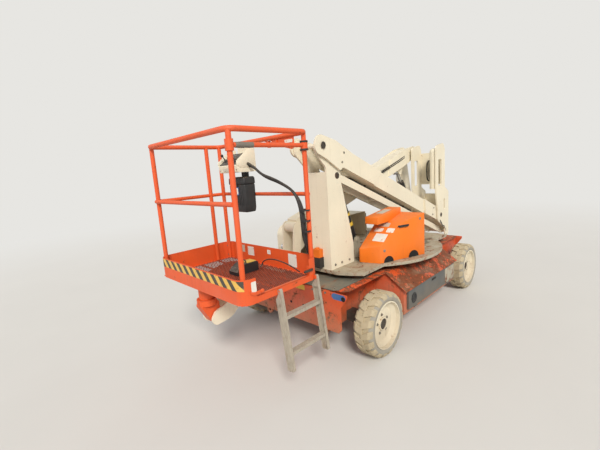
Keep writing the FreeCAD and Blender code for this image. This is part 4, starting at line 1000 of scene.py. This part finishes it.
class BOOMLIFT_OT_document_box(bpy.types.Operator):
    """Moulded document box with a lid, ribs and a bare label"""

    bl_idname = "boomlift.document_box"
    bl_label = "Document box"

    def execute(self, context):
        (back, front), (right, left), (low, _) = reach("document_box")
        top = low + 310
        shell = tapered((back, front), (right, left), ((low, 12), (low + 40, 4), (top - 64, 0.5)))
        shell = shell.finish("document_box_shell", "platform", "black_plastic", "plastic", bevel=13,
                             segments=4, smooth=40)
        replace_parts(shell, "document_box")
        lid = tapered((back - 1, front + 3), (right - 3, left + 3),
                      ((top - 66, 0), (top - 16, 1.5), (top, 10)))
        lid.finish("document_box_lid", "platform", "black_plastic", "plastic", bevel=11, segments=4,
                   smooth=40)
        rib = Form().block(flat, (front - 4, front + 1.2), (right + 34, right + 40), (low + 62, top - 92))
        step = Vector((0, (left - right - 74) / 6000, 0))
        row_of(rib.shape("rib_block", bevel=1.5, segments=1), "document_box_ribs", 7, step, "plastic")
        middle = (left + right) / 2
        fittings = Form()
        fittings.block(flat, (front, front + 7), (middle - 15, middle + 15), (top - 84, top - 48))
        fittings.block(flat, (back, back + 30), (-240, -170), (top - 4, top + 39))
        fittings.finish("document_box_fittings", "platform", "black_plastic", "plastic", bevel=2)
        y, z = right + 92, top - 96
        border = film(facing, (y - 52, y + 52), (z - 62, z + 8), front + 1.6, 1, gauge=1.2)
        border.finish("document_label_border", "platform", "black_plastic", "blue")
        label = film(facing, (y - 44, y + 44), (z - 54, z), front + 2.8, 1)
        label.finish("document_label", "platform", "black_plastic", "label")
        return {"FINISHED"}


class BOOMLIFT_OT_foot_switch(bpy.types.Operator):
    """Pedal ribs, guard hoop, cap and lead of the foot switch"""

    bl_idname = "boomlift.foot_switch"
    bl_label = "Foot switch"

    def execute(self, context):
        (back, front), (right, left), (low, high) = reach("foot_switch")
        slope = Beam(spot(front, 0, low + 26), spot(front - 40, 0, high))
        rib = Form().block(slope.at, (4, 8), (right + 8, left - 8), (0, 3))
        rib = rib.shape("rib_block", bevel=1, segments=1)
        row_of(rib, "foot_switch_ribs", 5, slope.along * 0.009, "zinc")
        middle = (back + front) / 2
        half = [(right + 6, low + 8), (right + 6, high + 20), (right + 22, high + 32)]
        arch = half + [(left - 22, high + 32), (left - 6, high + 20), (left - 6, low + 8)]
        hoses("foot_switch_hoop", "platform", "bare_steel", [
            (5, [spot(middle + 12, y, z) for y, z in arch])], look="axle")
        cap = Form().block(flat, (back + 8, middle - 6), (right + 14, left - 14), (high, high + 4))
        cap.finish("foot_switch_cap", "platform", "black_plastic", "yellow", bevel=1.5)
        lead = ((6, 30, 30), (-18, 30, 34), (-22, 40, 80), (-22, 160, 120), (-20, 380, 100), (-14, 490, 60))
        hoses("foot_switch_lead", "platform", "black_plastic", [
            (5, [spot(back + x, y, low + z) for x, y, z in lead])])
        return {"FINISHED"}


def round_edge(front, sides, corner, out):
    """Plan of the platform's front edge with its two corners, moved outward by out."""
    right, left = sides
    turns = [math.radians(10 * k) for k in range(1, 6)]
    reached = corner + out
    depth = front - corner
    start = [(depth + reached * math.cos(a), right + corner - reached * math.sin(a)) for a in reversed(turns)]
    stop = [(depth + reached * math.cos(a), left - corner + reached * math.sin(a)) for a in turns]
    return start + [(front + out, right + corner), (front + out, left - corner)] + stop


class BOOMLIFT_OT_platform_trim(bpy.types.Operator):
    """Hazard band, bare labels, tape, sill, ladder latch, bolts and the harness of the platform"""

    bl_idname = "boomlift.platform_trim"
    bl_label = "Platform trim"

    def execute(self, context):
        (rear, front), (right, _), (_, high) = reach("toe_boards")
        corner, left = 83, 560
        edge = (front, (right, left), corner)
        band = round_edge(*edge, 0.9) + list(reversed(round_edge(*edge, -0.6)))
        height = context.scene.boom_lift.stripes.height * 1000
        strip = Form().prism(flat, band, high - 8 - height, high - 8)
        strip.finish("hazard_band", "platform", "orange_paint", "stripes", smooth=30)
        labels = (("a", (-352, -258), (848, 934), "label"), ("b", (-60, -14), (892, 932), "label"),
                  ("c", (216, 316), (822, 932), "label"), ("d", (-455, -400), (868, 938), "label_grey"))
        for word, u, v, paper in labels:
            label = film(facing, u, v, rear + 4.3, 1)
            label.finish(f"toe_label_{word}", "platform", "orange_paint", paper)
        label = film(across, (2096, 2136), (862, 934), left, 1)
        label.finish("corner_label", "platform", "orange_paint", "label")
        side, bar = 519.4, 15.5
        wrap = Form()
        for start, stop, radius in ((1990, 2062, 18), (2058, 2100, 19.2), (2096, 2128, 17.8)):
            length = stop - start
            wrap.turned(spot(start, side, 1800), (1, 0, 0), [
                (bar, 0), (radius, 1), (radius + 0.6, length / 2), (radius, length - 1), (bar, length)], 20)
        wrap.finish("entry_bar_tape", "entry_bar", "orange_paint", "grey_hose", smooth=45)
        post = 1517.6
        collar = Form()
        for z in (1768, 1826):
            ring = [(19, -7), (29, -7), (30, -5), (30, 5), (29, 7), (19, 7)]
            collar.turned(spot(post, side, z), (0, 0, 1), ring, 24)
        collar.finish("entry_bar_bands", "entry_bar", "black_plastic", "hose", smooth=40)
        sill = Form()
        sill.block(across, (1583, 2102), (796, 824), (538, 545))
        sill.block(across, (1583, 2102), (820, 826), (520, 545))
        for x in (1583, 2096):
            sill.block(across, (x, x + 7), (796, 900), (532, 556))
        sill.finish("entry_sill", "platform", "orange_paint", "orange", bevel=1.5)
        board = left + 0.4
        outline = [(2040, 846), (2118, 838), (2150, 858), (2150, 874), (2110, 862), (2044, 868)]
        latch = Form().prism(across, outline, board, 566)
        latch.turned(spot(2052, 566, 857), (0, 1, 0), [(0, -5), (13, -5), (13, 4), (9, 7), (0, 7)], 20)
        latch.finish("ladder_latch", "platform", "orange_paint", "orange", bevel=1)
        catch = Form().block(across, (1560, 1652), (862, 880), (board, 574))
        catch.finish("ladder_catch", "platform", "bare_steel", "axle", bevel=3)
        caps = []
        for x, way in ((post, 1), (2167.4, -1)):
            for y in (side, -619.4):
                caps += [(spot(x + way * 14, y, z), (way, 0, 0), 7) for z in (830, 920)]
        bolt_on("post_bolts", "platform", "bare_steel", caps)
        _, (_, box_side), (box_low, _) = reach("platform_console")
        route = ((1600, box_side - 8, box_low + 60), (1596, box_side + 40, box_low + 52), (1560, 60, 1600),
                 (1552, 250, 1545), (1546, 420, 1460), (1545, 486, 1330), (1545, 490, 1120),
                 (1508, 486, 1000), (1490, 482, 962))
        harness = []
        for dx, dy, dz, radius in ((0, 0, 0, 11), (17, 4, 8, 8), (-5, 12, -14, 8), (10, -13, 16, 7)):
            harness.append((radius, [
                spot(x + dx, y + dy * (k > 0), z + dz) for k, (x, y, z) in enumerate(route)]))
        hoses("platform_harness", "platform", "black_plastic", harness)
        ties = Form()
        for z in (1160, 1240, 1320):
            ties.turned(spot(1536, 504, z), (0, 0, 1), washer(36, 38, -6, 6), 20)
        ties.finish("harness_ties", "platform", "black_plastic", "plastic", smooth=60)
        return {"FINISHED"}


class BOOMLIFT_OT_chassis(bpy.types.Operator):
    """Chassis box, shaped end panels, deck with sloping wings, and low side doors"""

    bl_idname = "boomlift.chassis"
    bl_label = "Chassis"

    bottom, under, top = 212, 594, 600
    deck_side, wing_side, drop = 640, 850, 153
    waist_end, waist_side, end = 610, 815, 1300
    panel_gauge = 8

    def chassis_box(self):
        """The waist, the narrower bays between the wheels, both end panels and their tie-down rings."""
        past_deck = self.waist_side - self.deck_side
        shoulder = self.under - past_deck * self.drop / (self.wing_side - self.deck_side)
        section = mirrored([(self.waist_side, self.bottom), (self.waist_side, shoulder),
                            (self.deck_side, self.under)])
        box = Form().prism(facing, section, -self.waist_end, self.waist_end)
        low, back = self.bottom + 28, self.end - self.panel_gauge
        wide, narrow = self.deck_side + 40, 610
        panel = mirrored([(wide, self.under), (wide, 566), (wide - 10, 553), (narrow + 14, 490),
                          (narrow, 472), (narrow, 276), (narrow - 34, 236)])
        bay = [(self.waist_end, low), (948, low), (948, 328), (1052, 328), (1052, low), (back, low),
               (back, self.under), (self.waist_end, self.under)]
        for way, side in ((1, 480), (-1, 600)):
            box.prism(across, [(way * x, z) for x, z in bay], -side, side)
            box.prism(facing, panel, *sorted((way * back, way * self.end)))
            x = way * (self.end - 55)
            for y in (-380, 380):
                box.turned(spot(x - 10, y, 198), (1, 0, 0), washer(15, 42, 0, 20), 28)
                for edge in (y - 42, y + 20):
                    box.block(flat, (x - 10, x + 10), (edge, edge + 22), (205, low + 4))
        return box.finish("chassis_box", "chassis", "orange_paint", "chassis", bevel=2.5)

    def deck(self):
        """The flat deck with its two wings."""
        gauge = self.top - self.under
        sheet = film(flat, (-1260, 1260), (-self.deck_side, self.deck_side), self.under, 1, gauge, corner=45)
        seam = self.deck_side - 5
        wing = [(seam, self.under), (self.deck_side, self.under), (self.wing_side, self.under - self.drop),
                (self.wing_side, self.top - self.drop), (self.deck_side, self.top), (seam, self.top)]
        for way in (1, -1):
            sheet.prism(facing, [(way * y, z) for y, z in wing], -self.waist_end - 20, self.waist_end + 20)
        return sheet.finish("deck_sheet", "chassis", "deck_metal", "deck", bevel=0.8)

    def door(self, way, word):
        """One side door: skin on its hinge rolls, pale patch, socket and pull."""
        hinge = pivot(f"side_door_{word}_fold")
        body = f"side_door_{word}"
        roll, face, foot = hinge.z * 1000 + 6, 840, hinge.z * 1000 + 10
        skin = Form().block(across, (-560, 560), (foot, 432), sorted((way * 815.4, way * face)))
        for x in (-403, 403):
            start = Vector((SWING.x + (x - 30) / 1000, hinge.y, hinge.z))
            skin.turned(start, (1, 0, 0), washer(6.4, 10, 0, 60), 18)
            skin.block(across, (x - 30, x + 30), (roll, foot + 8), sorted((way * 824, way * 836)))
        skin = skin.finish(f"door_skin_{word}", body, "grey_paint", "grey", bevel=3)
        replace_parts(skin, body)
        patch = film(across, (-552, -300), (foot + 10, 424), way * face, way, 1.6, 8)
        patch.finish(f"door_pale_{word}", body, "grey_paint", "table", bevel=0.5)
        cup = [(0, 0.2), (34, 0.2), (36, 4), (46, 6), (52, 4), (52, 0), (0, 0)]
        socket = Form().turned(spot(455, way * face, 340), (0, way, 0), cup, 36)
        socket.finish(f"door_socket_{word}", body, "grey_paint", "plastic", smooth=50)
        pull = Form().block(across, (-52, 52), (388, 412), sorted((way * face, way * 841.5)))
        pull.block(across, (-46, 46), (398, 406), sorted((way * 841.5, way * 849)))
        pull.finish(f"door_pull_{word}", body, "grey_paint", "plastic", bevel=1.2)

    def execute(self, context):
        end, top = self.end, self.top
        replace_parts(self.chassis_box(), "chassis_frame")
        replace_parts(self.deck(), "deck_plates")
        plate = film(flat, (700, 1285), (-560, 560), top, 1, 6, 34)
        plate.finish("front_plate", "chassis", "deck_metal", "green", bevel=1)
        # painted shade: dark discs stand for the holes in the end panels and in the sides
        holes = Form()
        for way in (1, -1):
            for y in (640, -640):
                holes.turned(spot(way * end, y, 555), (way, 0, 0), hole_shade_disc(21), 24)
            for y in (13, -150, 176):
                holes.turned(spot(way * end, y, 392), (way, 0, 0), hole_shade_disc(13), 24)
        for way in (1, -1):
            holes.turned(spot(412, way * self.waist_side, 470), (0, way, 0), hole_shade_disc(9), 20)
        holes.finish("panel_holes", "chassis", "orange_paint", "hole")
        for way, word in SIDES:
            self.door(way, word)
        screws = [(spot(x, y, top + 6), (0, 0, 1), 9)
                  for x in (740, 985, 1240) for y in (-510, -250, 250, 510)]
        screws += [(spot(end, y, 575), (1, 0, 0), 8) for y in (-560, -300, 300, 450)]
        bolt_on("plate_bolts", "chassis", "bare_steel", screws)
        touch_up = film(facing, (520, 664), (536, 590), end, 1, 0.6, 18)
        touch_up.finish("touch_up", "chassis", "orange_paint", "blue")
        label = film(facing, (90, 205), (545, 592), end, 1, 0.8, 2)
        label.finish("warning_label", "chassis", "orange_paint", "label_yellow")
        return {"FINISHED"}


class BOOMLIFT_OT_hood(bpy.types.Operator):
    """Left hood with its lid, labels and vents, fittings of the right hood, and the round turntable skirt"""

    bl_idname = "boomlift.hood"
    bl_label = "Hoods"

    inner, low, rear, wall = 384, 681, 90, 5
    outer, crest = 783, 1112

    def shell(self):
        """Chamfered shell of the left hood, open below, with its end walls."""
        inner, low, rear, wall = self.inner, self.low, self.rear, self.wall
        front, nose_side, nose_top = 680, 392, 814
        stations = [(rear, self.outer, self.crest), (340, 692, 1050), (627, 589, 851),
                    (front, nose_side, nose_top)]
        shell = Form().loft([[spot(x, y, z) for y, z in (
            (inner, high), (side, high), (side, low), (side - wall, low), (side - wall, high - wall),
            (inner, high - wall))] for x, side, high in stations])
        side, high = self.outer - wall, self.crest - wall
        shell.prism(facing, [(inner, low), (side, low), (side, high), (inner, high)], rear, rear + wall)
        shell.loft([[spot(x, y, z) for x, y in (
            (front - 4, inner), (front, inner), (front, nose_side), (front - 4, nose_side))]
            for z in (low, nose_top - 2)])
        return shell.finish("hood_shell", "hood_left", "orange_paint", "amber", bevel=3)

    def on_side(self, u, v, w):
        """Outline on the outer wall: along it, up, and out of it."""
        along = Vector((537, -194, 0)).normalized()
        outward = Vector((194, 537, 0)).normalized()
        return spot(self.rear, self.outer, 0) + (along * u + Vector((0, 0, v)) + outward * w) / 1000

    def execute(self, context):
        inner, low, rear = self.inner, self.low, self.rear
        on_side = self.on_side
        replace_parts(self.shell(), "hood_left")
        lid_back = rear + 14
        lid = [(lid_back, 1098), (lid_back, 1165), (560, 1118), (560, 1046), (344, 1046)]
        lid = Form().prism(across, lid, inner, inner + 150)
        lid.finish("hood_lid", "hood_left", "orange_paint", "amber", bevel=6, segments=3)
        fold = Beam(spot(627, 0, 851), spot(340, 0, 1050))
        labels = (((60, 165), (470, 600), "label"), ((190, 240), (430, 520), "label"),
                  ((190, 250), (560, 640), "label"), ((265, 320), (440, 560), "label_grey"))
        for k, (along, side, paper) in enumerate(labels):
            label = film(fold.at, along, side, 0.4, 1, 0.8, 3)
            label.finish(f"hood_label_{k}", "hood_left", "orange_paint", paper)
        lid_top = Beam(spot(560, 0, 1118), spot(lid_back, 0, 1165))
        label = film(lid_top.at, (150, 330), (inner + 30, inner + 110), 0.3, 1, 0.8, 3)
        label.finish("lid_label", "hood_left", "orange_paint", "label_grey")
        # painted shade: dark half-discs on the outer wall stand for the vent mouths
        mouths = Form()
        for middle, radius in ((150, 66), (470, 60)):
            arc = [(middle + radius * math.cos(math.radians(a)), low + radius * math.sin(math.radians(a)))
                   for a in range(0, 181, 15)]
            mouths.prism(on_side, arc, 0.3, 1.2)
        mouths.finish("hood_mouths", "hood_left", "orange_paint", "hole")
        handle = Form().block(on_side, (210, 350), (1010, 1024), (1, 8))
        handle.block(on_side, (222, 338), (1004, 1012), (6, 16))
        handle.finish("hood_handle", "hood_left", "black_plastic", "plastic", bevel=2)
        latch = Form()
        for u, v in ((60, 1060), (520, 800)):
            start = on_side(u, v, 0)
            latch.turned(start, on_side(u, v, 1) - start, [(0, -1), (14, -1), (14, 3), (9, 5), (0, 5)], 20)
        latch.finish("hood_latches", "hood_left", "bare_steel", "zinc", smooth=40)
        arm = Form().block(across, (-440, rear + 2), (736, 760), (inner - 6, inner + 6))
        arm.turned(spot(-450, inner, 728), (0, 0, 1), washer(6.5, 11, 0, 40), 20)
        arm.finish("hood_hinge_arm", "hood_left", "bare_steel", "axle", bevel=1)
        (back, front), (right, _), (foot, _) = reach("hood_right")
        # painted shade: dark strips stand for the vent slots of the right hood
        slots = Form()
        for k in range(9):
            x = back + 210 + k * 42
            slots.block(across, (x, x + 20), (foot + 70, foot + 190), (right - 0.9, right - 0.2))
        slots.finish("hood_right_slots", "hood_right", "cream_paint", "hole")
        catch = [(0, -1), (15, -1), (15, 3), (9, 6), (0, 6)]
        catches = Form()
        for x in (back + 90, front - 330):
            catches.turned(spot(x, right, foot + 250), (0, -1, 0), catch, 20)
        catches.finish("hood_right_latches", "hood_right", "bare_steel", "zinc", smooth=40)
        bore, rim, depth = 372, 865, 30
        skirt = [(bore, 0), (rim - 3, 0), (rim, 3), (rim, depth - 3), (rim - 3, depth), (bore, depth)]
        skirt = Form().turned(spot(0, 0, 650), (0, 0, 1), skirt, 96)
        skirt.finish("table_disc", "turntable", "grey_paint", "table", smooth=25)
        return {"FINISHED"}


class BOOMLIFT_OT_pins(bpy.types.Operator):
    """Pin ends with keeper plates, hoses of the tower and the boom, and the cylinder's bands"""

    bl_idname = "boomlift.pins"
    bl_label = "Pins and hoses"

    def execute(self, context):
        ends = (("tower_lift", "turntable", 163, SIDES), ("tower_link_turn", "turntable", 129, SIDES),
                ("upright_level", "upright", 181, SIDES[:1]))
        cap = [(0, 0.2), (16, 0.2), (16, 3), (27, 4), (31, 2), (31, 0), (0, 0)]
        for joint, body, face, sides in ends:
            centre = pivot(joint)
            for way, word in sides:
                start = Vector((centre.x, (TOWER_Y + way * face) / 1000, centre.z))
                ring = Form().turned(start, (0, way, 0), cap, 28)
                ring.finish(f"pin_end_{joint}_{word}", body, "bare_steel", "axle", smooth=40)
        bundle = []
        for k, side in enumerate((-40, -20, 0, 20)):
            droop = 4 * (k % 2)
            route = ((640, -92), (760, -101 - droop), (1500, -104 - droop), (2250, -100), (2380, -90))
            bundle.append((8.5, [TOWER.at(along, TOWER_Y + side, height) for along, height in route]))
        hoses("tower_hoses", "tower_arm", "black_plastic", bundle)
        clips = Form()
        for middle in (900, 1350, 1800, 2200):
            along = (middle - 12, middle + 12)
            clips.block(TOWER.side_view, along, (-118, -112), (TOWER_Y - 54, TOWER_Y + 34))
            for side in (-58, 30):
                clips.block(TOWER.side_view, along, (-116, -84), (TOWER_Y + side, TOWER_Y + side + 6))
        clips.finish("tower_clips", "tower_arm", "bare_steel", "axle", bevel=1)
        stations = ((260, 86), (300, 92), (1100, 92), (1500, 90), (1540, 78))
        lines = []
        for heights in ((30, 24, 22, 20, 18), (8, 2, 2, 2, 2)):
            lines.append((7, [BOOM.at(along, BOOM_Y + side, height)
                              for (along, side), height in zip(stations, heights)]))
        hoses("boom_hoses", "main_boom", "black_plastic", lines)
        cylinder = pivot("tower_barrel_turn")
        run = Vector(JOINTS["tower_rod_slide"]["axis"]).normalized()
        tube, band = 46, 48.4
        bands = Form()
        for distance, gauge in ((180, 40), (300, 26)):
            bands.turned(cylinder + run * distance / 1000, run, washer(tube, band, 0, gauge), 28)
        bands.finish("cylinder_labels", "tower_barrel", "black_paint", "label_yellow", smooth=50)
        return {"FINISHED"}


class BOOMLIFT_OT_upright_trim(bpy.types.Operator):
    """Slots, hoses and bolts of the upright, and bolts of the tower support and the tower arm"""

    bl_idname = "boomlift.upright_trim"
    bl_label = "Upright trim"

    def execute(self, context):
        face = 371
        # painted shade: dark slot shapes and a disc stand for openings in the upright
        marks = Form()
        slot = ((-14, -16), (-4, -22), (14, 16), (4, 22))
        for x, z in ((-1540, 622), (-1496, 668)):
            marks.prism(across, [(x + dx, z + dz) for dx, dz in slot], face + 0.2, face + 1)
        marks.turned(spot(-1580, face, 545), (0, 1, 0), hole_shade_disc(7), 16)
        marks.finish("upright_slots", "upright", "cream_paint", "hole")
        cable = ((-1340, -1, 792), (-1326, 20, 760), (-1362, 26, 708), (-1440, 20, 690), (-1478, -1, 690))
        hoses("upright_cable", "upright", "black_plastic", [(6, [spot(x, face + y, z) for x, y, z in cable])])
        runs = []
        for y, lean, radius in ((-40, 0, 10), (-14, 12, 9), (12, 2, 11), (38, 14, 8)):
            route = ((-1500, 1630), (-1440, 1622), (-1420 - lean, 1560), (-1412 - lean, 1450),
                     (-1430 - lean, 1345), (-1500, 1336))
            runs.append((radius, [spot(x, TOWER_Y + y, z) for x, z in route]))
        hoses("upright_hoses", "upright", "black_plastic", runs)
        support, arm = 129, 155
        bolt_on("support_bolts", "turntable", "bare_steel", [
            (spot(x, TOWER_Y + way * support, 720), (0, way, 0), 9)
            for way in (1, -1) for x in (760, 880, 980)])
        bolt_on("tower_bolts", "tower_arm", "bare_steel", [
            (TOWER.at(distance, TOWER_Y + way * arm, height), (0, way, 0), 8)
            for distance in (300, 2430) for height in (-46, 46) for way in (1, -1)])
        return {"FINISHED"}


# Studio
BACKDROP = (0.80, 0.79, 0.76, 1)
AMBIENT = (0.54, 0.55, 0.57, 1)
GROUND = (0.62, 0.60, 0.56, 1)


def floor_finish():
    """Plain pale floor that turns into the background's colour far out."""
    look = Finish("studio_floor")
    tone = look.mix(look.noise(1.2, 5), shade(GROUND, 0.97), shade(GROUND, 1.03))
    look.close(tone, 0.9, look.noise(60, 4), 0.1)
    distance = look.math("SQRT", look.plus(look.times(look.x, look.x), look.times(look.y, look.y)))
    rays = look.add("ShaderNodeLightPath").outputs
    seen = look.math("MAXIMUM", rays["Is Camera Ray"], rays["Is Glossy Ray"])
    seen = look.times(look.band(distance, 3.6, 12.0), seen)
    glow = look.add("ShaderNodeEmission", {"Color": BACKDROP, "Strength": 1.0})
    blend = look.add("ShaderNodeMixShader", {0: seen, 1: look.shader.outputs[0], 2: glow.outputs[0]})
    output = next(node for node in look.tree.nodes if node.type == "OUTPUT_MATERIAL")
    look.join(blend.outputs[0], output.inputs["Surface"])
    return look.material


class BOOMLIFT_OT_stage(bpy.types.Operator):
    """Pale floor, soft studio lights and the camera at the photograph's angle"""

    bl_idname = "boomlift.stage"
    bl_label = "Stage"

    def ground(self):
        """A wide floor under the machine."""
        grid = bmesh.new()
        bmesh.ops.create_grid(grid, x_segments=2, y_segments=2, size=60)
        data = bpy.data.meshes.new("studio_floor")
        grid.to_mesh(data)
        grid.free()
        data.materials.append(floor_finish())
        linked("studio_floor", data)

    def sky(self, scene):
        """Even light from all round, with a plain background where it is seen."""
        world = bpy.data.worlds.new("studio")
        scene.world = world
        world.use_nodes = True
        sky = Nodes(world.node_tree)
        back = next(node for node in sky.tree.nodes if node.type == "BACKGROUND")
        rays = sky.add("ShaderNodeLightPath").outputs
        seen = sky.math("MAXIMUM", rays["Is Camera Ray"], rays["Is Glossy Ray"])
        seen = sky.math("MAXIMUM", seen, rays["Is Transmission Ray"])
        tone = sky.add("ShaderNodeMix", {0: seen, 6: AMBIENT, 7: BACKDROP}, data_type="RGBA")
        sky.join(tone.outputs[2], back.inputs["Color"])
        sky.join(1.0, back.inputs["Strength"])

    def lamps(self):
        """Two soft suns that aim at the middle of the machine."""
        aim = Vector((0.1, 0, 0.9))
        lamps = (("key", (3.4, 4.2, 5.2), 0.30, 2.9, (1.0, 0.97, 0.92)),
                 ("fill", (4.6, -3.4, 3.6), 0.9, 0.35, (0.94, 0.97, 1.0)))
        for name, place, softness, power, colour in lamps:
            light = bpy.data.lights.new(name, "SUN")
            light.angle = softness
            light.energy = power
            light.color = colour
            lamp = linked(name, light)
            lamp.location = place
            lamp.rotation_euler = (aim - Vector(place)).to_track_quat("-Z", "Y").to_euler()

    def camera(self, scene):
        """The camera that was fitted to the photograph."""
        yaw, pitch, roll = -2.3550994, 0.16242291, 0.06982527
        place = spot(3334.22, 2241.735, 1618.259)
        forward = Vector((math.cos(yaw) * math.cos(pitch), math.sin(yaw) * math.cos(pitch), -math.sin(pitch)))
        level = Vector((math.sin(yaw), -math.cos(yaw), 0))
        down = forward.cross(level)
        right = level * math.cos(roll) + down * math.sin(roll)
        low = down * math.cos(roll) - level * math.sin(roll)
        lens = bpy.data.cameras.new("camera")
        lens.sensor_width = 36
        lens.lens = 19.889
        camera = linked("camera", lens)
        turn = Matrix((right, -low, -forward)).transposed().to_4x4()
        camera.matrix_world = Matrix.Translation(place) @ turn
        scene.camera = camera

    def execute(self, context):
        self.ground()
        self.sky(context.scene)
        self.lamps()
        self.camera(context.scene)
        context.scene.view_settings.view_transform = "Standard"
        return {"FINISHED"}


class BOOMLIFT_PT_panel(bpy.types.Panel):
    """Sidebar list of the settings and the steps that dress the boom lift"""

    bl_idname = "BOOMLIFT_PT_panel"
    bl_label = "Boom Lift"
    bl_space_type = "VIEW_3D"
    bl_region_type = "UI"
    bl_category = "Boom Lift"

    def draw(self, context):
        settings = context.scene.boom_lift
        for group in (settings.paint, settings.tread, settings.lattice, settings.stripes):
            box = self.layout.box()
            for key in group.__annotations__:
                box.prop(group, key)
        for step in STEPS:
            self.layout.operator(step.bl_idname)


STEPS = (BOOMLIFT_OT_stage, BOOMLIFT_OT_finishes, BOOMLIFT_OT_tyres, BOOMLIFT_OT_wheel_nuts,
         BOOMLIFT_OT_platform_floor, BOOMLIFT_OT_console, BOOMLIFT_OT_document_box, BOOMLIFT_OT_foot_switch,
         BOOMLIFT_OT_platform_trim, BOOMLIFT_OT_chassis, BOOMLIFT_OT_hood,
         BOOMLIFT_OT_pins, BOOMLIFT_OT_upright_trim)
SETTINGS = (PaintSettings, TreadSettings, LatticeSettings, StripeSettings, LiftSettings)


def register():
    for cls in SETTINGS + STEPS + (BOOMLIFT_PT_panel,):
        bpy.utils.register_class(cls)
    bpy.types.Scene.boom_lift = bpy.props.PointerProperty(type=LiftSettings)


def unregister():
    del bpy.types.Scene.boom_lift
    for cls in reversed(SETTINGS + STEPS + (BOOMLIFT_PT_panel,)):
        bpy.utils.unregister_class(cls)


def main():
    """Dress the boom lift step by step."""
    register()
    for step in STEPS:
        getattr(bpy.ops.boomlift, step.bl_idname.split(".")[1])()


if __name__ == "__main__":
    main()
